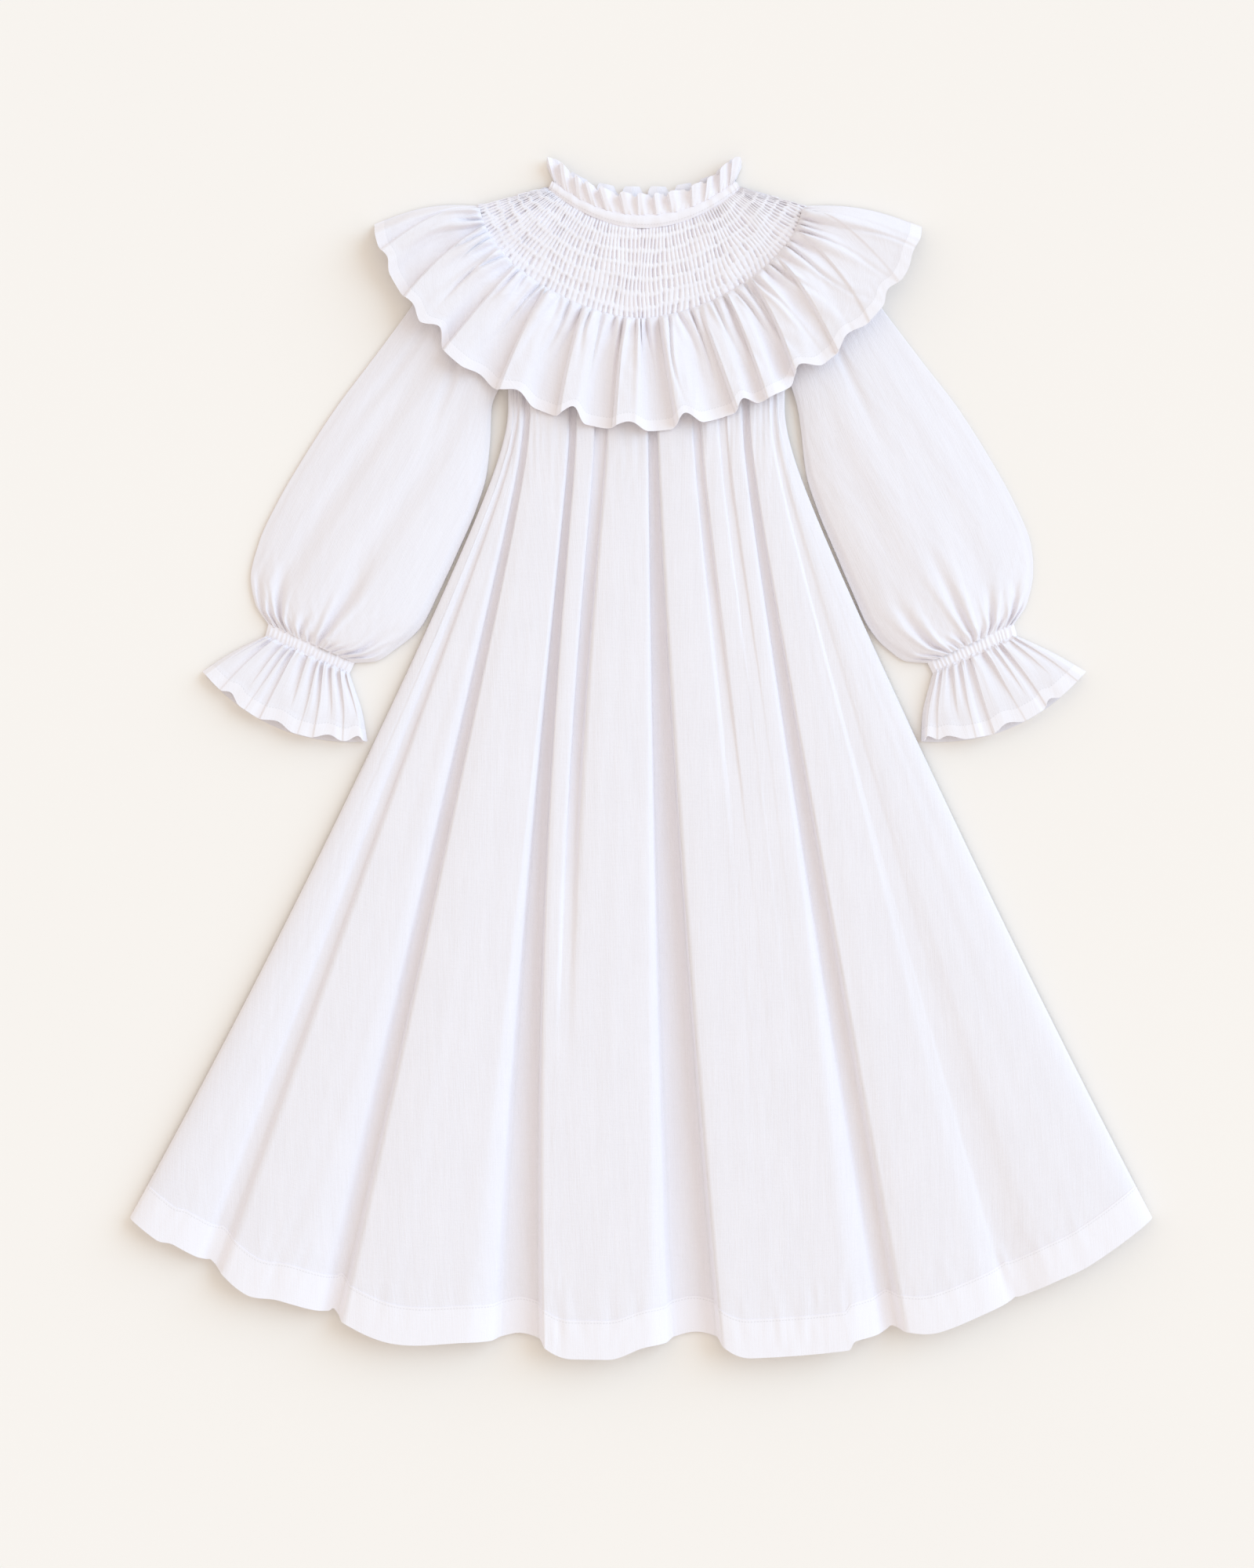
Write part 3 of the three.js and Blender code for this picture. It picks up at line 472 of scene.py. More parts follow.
def fold_lines(t):
    """Lines down the front panel at the stations t: place, place at the hem, share of the rise, drop.
    Each hollow has six, for its crests, a bend in its left flank and the sides and middle of its floor, and
    each fold has one along its top."""
    lines = []

    def mark(line, share, drop):
        """Adds one line: its place at the stations and at the hem, its share of the rise, and its drop."""
        hem = line(np.ones_like(t))
        lines.append((line(flare(np.maximum(t, 0))), hem, share * np.interp(hem, *SKIRT_BODY), drop + 0 * t))

    def edge(table, offset):
        """Line along a side of the panel, in from it by an offset that narrows towards the waist."""
        return lambda v: through(table, v) + offset * (0.35 + 0.65 * v)

    def top(left, right, drop):
        """Adds the line along the top of a fold, a little nearer to its left crest."""
        mark(lambda v: 0.6 * left(v) + 0.4 * right(v), 1 + 0.02 * drop, 0)

    for offset, share in SKIRT_SIDE:
        mark(edge(SKIRT_LEFT, offset), share, 0)
    before, last = edge(SKIRT_LEFT, SKIRT_SIDE[-1][0]), 0 * t
    for hollow in SKIRT_HOLLOWS:
        def beside(sign, run, hollow=hollow):
            """Line beside the hollow's floor, out by a run that grows as the square of the way down."""
            reach = lambda v: run * (FLANK_AT_WAIST + (1 - FLANK_AT_WAIST) * v * v)
            return lambda v: through(hollow["x"], v) + sign * (0.5 * through(hollow["width"], v) + reach(v))

        left, right = hollow["left"], hollow["right"]
        drop = through(hollow["drop"], t) * (1 - smooth(*hollow.get("fade", NO_FADE), t))
        top(before, beside(-1, left), np.minimum(last, drop))
        mark(beside(-1, left), 1 - CREST_FALL_LEFT * drop, CREST_PULL * drop)
        mark(beside(-1, BEND_AT * left), 1 - (BEND_FALL - BEND_EASE * drop) * drop, BEND_PULL * drop)
        mark(beside(-1, 0), 1 - FLOOR_FALL * drop, FLOOR_PULL * drop)
        mark(lambda v, hollow=hollow: through(hollow["x"], v), 1 - drop, drop)
        mark(beside(1, 0), 1 - FLOOR_FALL * drop, FLOOR_PULL * drop)
        mark(beside(1, right), 1 - CREST_FALL_RIGHT * drop, CREST_PULL * drop)
        before, last = beside(1, right), drop
    top(before, edge(SKIRT_RIGHT, -SKIRT_SIDE[-1][0]), 0 * t)
    for offset, share in reversed(SKIRT_SIDE):
        mark(edge(SKIRT_RIGHT, -offset), share, 0)
    return [np.stack(column, -1) for column in zip(*lines)]


def front_panel(t, out=0.0):
    """Front of the skirt at the stations t: the fold lines joined by smooth curves, the lower corners of the
    folds rounded, with soft streaks, small gathers under the waist and puckers along the hem's stitching."""
    x, hem, share, drop = fold_lines(t)
    k, s = between(hem[-1], SKIRT_PITCH, 4, 12)
    blend = lambda table: table[:, k] * (1 - s) + table[:, k + 1] * s
    px, phem = blend(x), blend(hem)
    rise, fall = smooth_run(x, share, k, s), smooth_run(x, drop, k, s)
    t = t[:, None]
    for hollow in SKIRT_HOLLOWS:
        if "fade" not in hollow:
            away = phem - hollow["x"][2] - 0.5 * hollow["width"][2] - hollow["right"]
            corner = np.where(away > 0, np.clip(1 - away / HEM_ROUND, 0, 1) ** 2, 0)
            fall = np.maximum(fall, CREST_PULL * hollow["drop"][2] * corner)
    py = WAIST_Y + (hem_y(phem) + HEM_PULL * fall * t * t - WAIST_Y) * t
    seat = SKIRT_SEAT + OVER_ONE * (1 - smooth(*WAIST_STEP, t))
    side = np.minimum(phem - phem[:, :1], phem[:, -1:] - phem)
    loose = smooth(0, 25, side)
    streak = STREAK_RISE * ripple(phem, py, 3, 24, 420) * smooth(0.02, 0.3, t)
    crumple = CRUMPLE_RISE * ripple(phem, py, 5, 9, 26)
    pucker = PUCKER_RISE * ripple(phem, py, 7, 13, 90) * np.exp(-(((t - HEM_SHARE) / PUCKER_REACH) ** 2))
    gather = GATHER_RISE * ripple(px, py, 9, 6, 120) * np.exp(-t / 0.07)
    pz = seat + CLOTH + rise * through(SKIRT_RISE, t) + out + loose * (streak + crumple + pucker + gather)
    return np.stack([px, py, pz], -1)


stations = np.concatenate([
    np.linspace(-0.045, 0.1, 26)[:-1],
    np.linspace(0.1, 0.9, 52)[:-1],
    np.linspace(0.9, HEM_SHARE + 0.003, 12),
])
skirt_front = cloth("front_skirt", front_panel(stations), "skirt_front", single)

# Hem of the skirt's front. The lower edge is turned up in a deep doubled band and stitched along its
# top, so it is whiter, stiffer and a little puckered.
HEM_STITCH = 0.0018    # metres below the hem's upper edge
HEM_TURN = 0.35        # millimetres by which a turned hem stands out
HEM_WALL = 1.0
SKIRT_LENGTH = 664
hem_stations = np.linspace(HEM_START, 1, 12)
hem_cotton = cotton("cotton_hem", doubled=True, stitch_at=HEM_STITCH)
hem_points = front_panel(hem_stations, out=HEM_TURN)
hem_front = cloth("front_hem", hem_points, "hem_front", hem_cotton, HEM_WALL,
                  down=(hem_stations - hem_stations[0]) * SKIRT_LENGTH)

# Front of the bodice. A plain panel of the same cotton, sewn to the yoke seam above and to the raised
# waist seam below. The ruffle covers nearly all of it.
bodice_points = raised(bodice_plan, 2 * OVER_ONE + CLOTH)
bodice_front = cloth("front_bodice", bodice_points, "bodice_front", single)

# Sleeves. Full bishop sleeves of the same cotton, sewn into the armhole under the ruffle and gathered
# into the cuff, so they lie as soft flattened tubes with creases that run up from the cuff.
SLEEVE_EDGE, EDGE_FULLNESS = 4.4, 0.3
SLEEVE_SKEW = 1.5      # above 1 the sleeve is fullest towards the skirt
ARMHOLE_SPAN, ARMHOLE_GAP = (0.06, 0.82), 5 * SEAM
CREASE_REACH, CREASE_SINK, CREASE_SWELL = 1.3, 0.85, 0.35
SLEEVE_SECTIONS = dict(
    # one entry for each section from the armhole to the cuff
    outer_x=(-139, -162, -190, -214.5, -237, -255.5, -268.7, -274.5, -271.5, -262.3),
    outer_y=(349, 315.5, 278, 245.5, 211, 179.5, 151, 126.5, 108.5, 93.2),
    inner_x=(-105, -106, -108.5, -116.5, -128.5, -141.5, -155, -171.5, -187.5, -201.3),
    inner_y=(245, 224, 199.5, 172.5, 145, 117, 91, 76.5, 67, 66),
    seat=(1.3, 1.3, 0, 0, 0, 0, 0, 0, 0, 0),
    crown=(2.0, 3.2, 6.2, 8.0, 9.2, 10.0, 10.4, 10.0, 8.2, 3.6),
    right=(5, 7, 7.5, 8, 7.5, 6.5, 5, 1, 0, 0),
)
SLEEVE_CREASES = dict(
    # place across at the cuff and at the upper end, length up the sleeve, half width, depth
    left=((0.05, 0.06, 0.22, 0.040, 3.6), (0.13, 0.12, 0.12, 0.030, 2.2), (0.22, 0.19, 0.24, 0.040, 4.6),
          (0.29, 0.29, 0.09, 0.030, 2.4), (0.38, 0.42, 0.16, 0.040, 3.8), (0.47, 0.49, 0.08, 0.030, 2.2),
          (0.57, 0.59, 0.32, 0.045, 5.0), (0.66, 0.70, 0.10, 0.030, 2.4), (0.73, 0.78, 0.12, 0.030, 2.4),
          (0.81, 0.90, 0.22, 0.035, 3.8), (0.89, 0.96, 0.18, 0.030, 2.6)),
    right=((0.05, 0.05, 0.12, 0.030, 2.2), (0.11, 0.13, 0.20, 0.040, 3.6), (0.21, 0.21, 0.10, 0.030, 2.4),
           (0.31, 0.30, 0.22, 0.040, 4.0), (0.39, 0.40, 0.10, 0.030, 2.4), (0.47, 0.55, 0.34, 0.045, 5.0),
           (0.56, 0.61, 0.13, 0.030, 2.6), (0.64, 0.68, 0.12, 0.030, 2.4), (0.75, 0.82, 0.30, 0.045, 5.0),
           (0.84, 0.90, 0.12, 0.030, 2.4), (0.93, 0.97, 0.16, 0.030, 2.4)),
)
SLEEVE_HOLLOWS = dict(
    # place across at the armhole and at the cuff, half width, depth;
    # shares of the sleeve's length over which it comes and goes
    left=((0.36, 0.18, 0.10, 1.8, (0.15, 0.4, 0.8, 1)), (0.74, 0.46, 0.12, 2.0, (0.15, 0.4, 0.8, 1)),
          (0.22, 0.00, 0.06, 1.5, (0.05, 0.14, 0.25, 0.5)), (0.48, 0.70, 0.07, 1.9, (0.05, 0.14, 0.18, 0.4)),
          (0.57, 0.57, 0.10, 1.6, (0.58, 0.71, 0.72, 0.86))),
    right=((0.30, 0.34, 0.12, 0.7, (0.15, 0.4, 0.8, 1)), (0.70, 0.72, 0.16, 0.9, (0.15, 0.4, 0.8, 1)),
           (0.42, 0.60, 0.06, 1.2, (0.05, 0.14, 0.18, 0.4))),
)


def mound(distance, half):
    """Soft mound, half a cosine: 1 at the middle, 0 from one half width outwards."""
    return np.where(np.abs(distance) < half, 0.5 + 0.5 * np.cos(np.pi * distance / half), 0)


def table_run(values, at):
    """Smooth curve through evenly spaced values, at the places at, counted in intervals."""
    values = np.asarray(values, float)
    k = np.clip(at.astype(int), 0, len(values) - 2)
    return smooth_run(np.arange(len(values), dtype=float), values, k, at - k)


def arc_places(count):
    """Shares across from 0 to 1, closer together towards both ends."""
    return 0.5 - 0.5 * np.cos(np.linspace(0, np.pi, count))


def tube_points(outer, inner, bow, top, under, seat, mirror):
    """Flattened tube: over the top from the outer to the inner edge at the shares top across, then back
    along the flat underside in a number of points; its edges are rounded."""
    top = np.broadcast_to(top, (len(outer), np.shape(top)[-1]))
    back = np.broadcast_to(arc_places(under)[-2:0:-1], (len(outer), under - 2))
    across = np.concatenate([top, back], 1)
    over = np.arange(across.shape[1]) < top.shape[1]
    along = (inner - outer)[:, None, :]
    square = np.stack([along[..., 1], -along[..., 0]], -1) / np.linalg.norm(along, axis=-1, keepdims=True)
    f = across[..., None]
    plan = outer[:, None, :] + along * f + square * (4 * f * (1 - f) * bow[:, None, None])
    round_edge = SLEEVE_EDGE / 2 * (4 * across * (1 - across)) ** EDGE_FULLNESS
    z = seat[:, None] + SLEEVE_EDGE / 2 + np.where(over, round_edge, -round_edge)
    return across, over, plan * (mirror, 1), z


def sleeve_points(side):
    """One sleeve: sections blended smoothly down it, an upper layer fullest towards the skirt, with hollows
    and creases."""
    mirror = 1 if side == "left" else -1
    at = np.concatenate([np.linspace(0, 7, 46)[:-1], np.linspace(7, 10, 64)])
    seam = bodice_plan[:, 0 if mirror > 0 else -1]
    arm_top, arm_low = (mix(seam[0], seam[-1], np.array(share)) for share in ARMHOLE_SPAN)
    first = dict(outer_x=mirror * arm_top[0] - ARMHOLE_GAP, outer_y=arm_top[1],
                 inner_x=mirror * arm_low[0] - ARMHOLE_GAP, inner_y=arm_low[1],
                 seat=OVER_ONE, crown=0.0, right=0.0)
    run = {key: table_run((first[key], *values), at) for key, values in SLEEVE_SECTIONS.items()}
    aside = run["right"] if mirror < 0 else 0 * at
    outer = np.stack([run["outer_x"] - aside, run["outer_y"]], -1)
    inner = np.stack([run["inner_x"] - aside, run["inner_y"]], -1)
    f, over, plan, z = tube_points(outer, inner, 0 * at, arc_places(180), 24, run["seat"], mirror)
    down = (at / 10)[:, None]
    rise = run["crown"][:, None] * np.sin(np.pi * f ** SLEEVE_SKEW) ** 0.6
    for start, end, half, depth, (comes, full, stays, goes) in SLEEVE_HOLLOWS[side]:
        middle = start + (end - start) * down
        strong = smooth(comes, full, down) * (1 - smooth(stays, goes, down))
        rise = rise - depth * mound(f - middle, half) * strong
    for cuff, end, length, half, depth in SLEEVE_CREASES[side]:
        up = np.clip((1 - down) / (CREASE_REACH * length), 0, 1)
        away = f - cuff - (end - cuff) * up
        width = half * (0.45 + 0.75 * up)
        strong = (1 - smooth(0.35, 1, up)) * (0.45 + 0.55 * smooth(0, 0.25, up))
        beside = mound(away - 1.5 * width, width) + mound(away + 1.5 * width, width)
        rise = rise + depth * strong * (CREASE_SWELL * beside - CREASE_SINK * mound(away, width))
    fine = np.exp(-(1 - down) / 0.05)
    u, v = f * 110, down * 330
    rise = rise + 0.5 * fine * ripple(f * 60, v, 21 + mirror, 4.0, 300)
    rise = rise + 0.22 * ripple(u, v, 23 + mirror, 34, 400) * smooth(0.1, 0.3, down)
    rise = rise + 0.05 * ripple(u, v, 25, 9, 22)
    floor = -0.25 * SLEEVE_EDGE * (4 * f * (1 - f)) ** EDGE_FULLNESS
    loose = smooth(0.0, 0.05, f) * smooth(0.0, 0.05, 1 - f)
    z = z + np.where(over, np.maximum(rise * (0.15 + 0.85 * loose), floor), 0)
    return raised(plan, z)[:, ::mirror]


for side in ("left", "right"):
    sleeve = cloth(side + "_sleeve", sleeve_points(side), "sleeve_" + side, single,
                   closed=True)

# Cuffs. Narrow casings of doubled cotton, sewn round the lower end of each sleeve; the elastic inside
# draws them into fine ribs.
CASING_OUTER = np.array([(-262.4, 92.3), (-264.2, 85.6)])
CASING_INNER = np.array([(-201.9, 65.2), (-204.8, 59.2)])
CASING_RIBS, RIB_RISE, CASING_BELLY, CASING_CROWN, CASING_WALL = 21, 0.40, 0.7, 2.2, 0.8
for side, mirror in (("left", 1), ("right", -1)):
    t = np.linspace(-0.22, 1.22, 13)
    outer, inner = (mix(line[:1], line[1:], t) for line in (CASING_OUTER, CASING_INNER))
    f, over, plan, z = tube_points(outer, inner, 0 * t, arc_places(200), 20, 0 * t, mirror)
    belly = CASING_BELLY * np.sin(np.pi * np.clip(t, 0, 1))[:, None] ** 0.5
    uneven = 0.9 * ripple(60 * f, 7 * t[:, None], 31 + mirror, 14, 60)
    ribs = RIB_RISE * np.cos(2 * np.pi * CASING_RIBS * f + uneven)
    loose = smooth(0, 0.05, f) * smooth(0, 0.05, 1 - f)
    crown = CASING_CROWN * np.sin(np.pi * f) ** 0.6
    z = z + np.where(over, crown + (belly + ribs * (0.4 + 0.6 * belly)) * loose, 0)
    points = raised(plan, z)[:, ::mirror]
    cuff = cloth(side + "_cuff", points, "cuff_" + side, double, CASING_WALL,
                 closed=True)

# Cuff frills. Short flounces of single cotton, gathered to the casings, which open in uneven flutes;
# the free edge is turned in a narrow stitched hem.
FRILL_OUTER = np.array([(-264.4, 85.0), (-273, 81.0), (-291, 71.5), (-308.4, 60.0)])
FRILL_INNER = np.array([(-205.0, 58.6), (-202.5, 51), (-196, 31), (-192.4, 11.0)])
FRILL_BOW = (0, 2, 9, 16)
FRILL_AWAY = (0, 0.5, 2, 4.5)
FRILL_DEPTH, FRILL_HEM, HEM_STITCH_IN = 58.0, 9.0, 0.6
FRILL_FOLDS = dict(
    # place across of each fold's sharp edge at the casing and at the free edge, from the dress's left;
    # the hollow's share of the fold before it; depth of the hollow at the casing and at the free edge
    left=((0.045, 0.030, 0.25, 0.5, 0.0), (0.105, 0.135, 0.25, 0.8, 0.25), (0.225, 0.260, 0.20, 0.9, 0.0),
          (0.310, 0.305, 0.25, 0.9, 0.1), (0.375, 0.400, 0.35, 1.0, 0.35), (0.520, 0.550, 0.20, 1.0, 0.0),
          (0.640, 0.630, 0.22, 0.9, 0.1), (0.705, 0.715, 0.30, 1.0, 0.2), (0.790, 0.800, 0.25, 0.8, 0.0),
          (0.895, 0.875, 0.25, 0.8, 0.15), (0.960, 0.955, 0.25, 0.5, 0.0)),
    right=((0.040, 0.035, 0.25, 0.5, 0.1), (0.110, 0.085, 0.30, 0.7, 0.15), (0.225, 0.220, 0.25, 0.8, 0.0),
           (0.325, 0.285, 0.25, 0.8, 0.1), (0.440, 0.385, 0.45, 1.0, 0.4), (0.605, 0.580, 0.20, 1.0, 0.1),
           (0.710, 0.655, 0.20, 0.6, 0.0), (0.800, 0.715, 0.35, 1.0, 0.2), (0.900, 0.850, 0.25, 0.5, 0.0),
           (0.960, 0.930, 0.25, 0.5, 0.1)),
)
FRILL_ARCHES = dict(
    # middle and half width of the arches of the free edge, from the dress's left
    left=((0.20, 0.07), (0.50, 0.11), (0.79, 0.09), (0.94, 0.05)),
    right=((0.05, 0.05), (0.15, 0.09), (0.48, 0.10), (0.75, 0.06)),
)
FRILL_RISE, FRILL_ARCH, FRILL_CROWN = 4.4, 7.0, 1.6
FRILL_GATHERS, FRILL_GATHER_RISE = 17, 0.7
FRILL_UNDER = 24       # points across the flat underside
FRILL_PITCH = 0.006    # about the share of the width between columns


def folded_strip(folds, down, first, last, pitch):
    """Strip gathered at its seam, from first to last along it: the places of its columns, their heights from
    0 to 1 and their shares of the way over the fold. A fold starts with a sharp edge, runs on level and sinks
    into the hollow before the next edge."""
    seam, free, share, deep, shallow = np.array(folds).T
    down = np.clip(down, 0, 1)[:, None]
    ends = np.ones_like(down)
    edge = seam + (free - seam) * down
    start, stop = np.concatenate([first * ends, edge], 1), np.concatenate([edge, last * ends], 1)
    depth = np.concatenate([deep + (shallow - deep) * smooth(0.15, 0.85, down), 0.3 * ends], 1)
    share = np.append(share, 0.2)
    nodes = np.stack([0.03 + 0 * share, 0.45 * (1 - share), 1 - share, 0.97 + 0 * share], -1)
    lines = (start[..., None] + (stop - start)[..., None] * nodes).reshape(len(down), -1)
    way = (np.arange(len(share))[:, None] + nodes).reshape(-1)
    way = np.concatenate([[0], way, [len(share)]])
    tops = np.stack([1 + 0 * depth, 1 - 0.06 * depth, 1 - 0.9 * depth, 1 - depth], -1).reshape(len(down), -1)
    lines = np.concatenate([first * ends, lines, last * ends], 1)
    tops = np.concatenate([tops[:, :1], tops, tops[:, -1:]], 1)
    k, s = between(lines[-1], pitch, 3, 24)
    way = way[k] * (1 - s) + way[k + 1] * s
    places = lines[:, k] * (1 - s) + lines[:, k + 1] * s
    return places, smooth_run(lines, tops, k, s), (way - np.floor(way))[None, :]


hem_top = FRILL_DEPTH - FRILL_HEM
frill_cotton = cotton("cotton_frill", hem_from=hem_top * MM, stitch_at=(hem_top + HEM_STITCH_IN) * MM)
for side, mirror in (("left", 1), ("right", -1)):
    at = np.linspace(-0.12, 3, 48)
    aside = table_run(FRILL_AWAY, at) * (mirror < 0)
    outer, inner = (np.stack([table_run(line[:, 0], at) - aside, table_run(line[:, 1], at)], -1)
                    for line in (FRILL_OUTER, FRILL_INNER))
    down = np.maximum(at / 3, 0)[:, None]
    top, fold, _ = folded_strip(FRILL_FOLDS[side], down[:, 0], 0, 1, FRILL_PITCH)
    if mirror < 0:
        top, fold = 1 - top[:, ::-1], fold[:, ::-1]
    f, over, plan, z = tube_points(outer, inner, table_run(FRILL_BOW, at), top, FRILL_UNDER, 0 * at, mirror)
    fold = np.concatenate([fold, np.zeros((len(at), FRILL_UNDER - 2))], 1)
    rise = FRILL_RISE * fold * smooth(-0.03, 0.06, down)
    uneven = 1.4 * ripple(60 * f, FRILL_DEPTH * down, 41 + mirror, 24, 200)
    gathers = FRILL_GATHER_RISE * np.exp(-down / 0.2) * np.cos(2 * np.pi * FRILL_GATHERS * f + uneven)
    swell = 0.18 * ripple(110 * f, FRILL_DEPTH * down, 43, 16, 60) * down
    rise = rise + gathers + FRILL_CROWN * np.sin(np.pi * f) ** 0.7 + swell
    hem = HEM_TURN * smooth(hem_top - 0.3, hem_top + 0.1, FRILL_DEPTH * down)
    loose = smooth(0, 0.03, f) * smooth(0, 0.03, 1 - f)
    z = z + np.where(over, (rise + hem) * loose, 0)
    arch = sum(mound((f if mirror > 0 else 1 - f) - middle, half) for middle, half in FRILL_ARCHES[side])
    pull = np.where(over, (0.25 * FRILL_RISE * fold + FRILL_ARCH * arch) * loose, 0) * down ** 3
    heading = ((outer - outer[0]) + (inner - inner[0]))[-1] * (mirror, 1)
    plan = plan - (0.55 * pull)[..., None] * heading / np.linalg.norm(heading)
    points = raised(plan, z)[:, ::mirror]
    frill = cloth(side + "_cuff_frill", points, "cuff_frill_" + side, frill_cotton,
                  down=FRILL_DEPTH * down[:, 0], closed=True)

# Front of the yoke. Cotton pleated fine and smocked by hand: rows of stitches draw the pleats together,
# and short slits open between the rows.
PLEATS, SMOCK_ROWS, PLEAT_RISE = 84, 7, 2.8
YOKE_SWELL, YOKE_SEAM_LIFT, YOKE_WALL = 1.2, 1.1, 0.6
UNDER_BAND, UNDER_RUFFLE = 1.5, 2.5   # how far the yoke runs in under its neighbours


def yoke_points():
    """Half ring of pleats from the neckline to the seam: the grooves between the pleats close at every
    stitch row and open half way to the next one, some of them much wider than others."""
    turn, down = np.linspace(-1, 1, PLEATS * 8 + 1)[None, :], np.linspace(0, 1, 72)[:, None]
    number = (turn + 1) / 2 * PLEATS
    wander = number + 0.22 * ripple(number, 70 * down, 51, 12, 50)
    groove = np.clip(np.round(wander), 0, PLEATS).astype(int)
    chance = np.random.default_rng(52)
    shift = chance.uniform(-0.10, 0.10, PLEATS + 1)[groove]
    level = SMOCK_ROWS * down + 0.12 * ripple(number, 70 * down, 54, 20, 60)
    band = np.clip(np.floor(level + shift), 0, SMOCK_ROWS - 1).astype(int)
    wide = (0.25 + 0.75 * chance.uniform(0, 1, (PLEATS + 1, SMOCK_ROWS)) ** 1.5)[groove, band]
    opened = wide * smooth(0.06, 0.45, np.sin(np.pi * (level + shift)) ** 2)
    rib = 1 - (0.12 + 0.88 * opened) * np.exp(-(((wander - groove) / (0.11 + 0.13 * opened)) ** 2))
    side = 1 - smooth(0.72, 1, np.abs(turn))
    swell = YOKE_SWELL * np.sin(np.pi * down) + YOKE_SEAM_LIFT * smooth(0.75, 1, down)
    seat = OVER_ONE + side * (0.6 + (OVER_ONE - 0.6) * down) + side * swell
    relief = PLEAT_RISE * rib * (0.25 + 0.75 * smooth(0.025, 0.08, down) * smooth(0, 0.04, 1 - down))
    z = seat + CLOTH + relief + 0.25 * ripple(110 * turn, 80 * down, 53, 30, 30)
    neck_edge = neck_line(turn, UNDER_BAND, UNDER_BAND, 0)
    plan = mix(neck_edge, ruffle_at(turn, UNDER_RUFFLE + 0 * turn), down * np.ones_like(turn))
    return raised(plan, z)


smocked = cotton("cotton_smocked", doubled=True)
yoke_front = cloth("front_yoke", yoke_points(), "yoke_front", smocked, YOKE_WALL)

# Ruffle. A deep strip gathered to the yoke seam, which stands up in hollow flutes over the sleeves
# and the skirt; its free edge has a narrow stitched hem.
RUFFLE_DEPTH, RUFFLE_REACH, RUFFLE_HEM = 77.0, 5.0, 8.2
RUFFLE_HEAD, RUFFLE_LIFT, RUFFLE_RISE, RUFFLE_BOW = 4.7, 10.2, 10.0, 5.5
RUFFLE_FOLDS = [
    # place round the yoke of each fold's sharp edge at the seam and at the free edge, the hollow's share
    # of the fold before it, depth of the hollow at the seam and at the free edge
    (-0.980, -0.891, 0.15, 0.5, 0.4), (-0.846, -0.733, 0.42, 0.9, 0.8), (-0.700, -0.640, 0.25, 0.5, 0.0),
    (-0.593, -0.560, 0.20, 0.6, 0.9), (-0.446, -0.393, 0.30, 1.0, 1.0), (-0.280, -0.233, 0.35, 1.0, 1.0),
    (-0.099, -0.086, 0.40, 1.0, 1.0), (0.101, 0.107, 0.30, 1.0, 1.0), (0.274, 0.265, 0.34, 1.0, 1.0),
    (0.394, 0.341, 0.25, 0.9, 0.8), (0.508, 0.434, 0.40, 1.0, 1.0), (0.654, 0.548, 0.32, 0.8, 0.4),
    (0.814, 0.661, 0.40, 0.5, 0.12), (0.965, 0.795, 0.30, 0.2, 0.1),
]
RUFFLE_ARCHES = [
    # middle and half width of each arch of the free edge round the yoke, and its height
    (-0.86, 0.05, 3.5), (-0.70, 0.05, 3.0), (-0.605, 0.05, 9.0), (-0.45, 0.05, 3.0),
    (-0.345, 0.055, 6.0), (-0.20, 0.042, 9.5), (-0.04, 0.07, 6.0), (0.135, 0.045, 9.0),
    (0.29, 0.035, 7.0), (0.455, 0.05, 9.5), (0.60, 0.06, 5.0), (0.765, 0.05, 4.5),
    (0.90, 0.06, 2.0),
]
RUFFLE_GATHERS, GATHER_HEIGHT, GATHER_TIGHTNESS = 42, 8.0, 3.4
RUFFLE_HEM_TOP = RUFFLE_DEPTH - RUFFLE_HEM
RUFFLE_PITCH = 0.0040


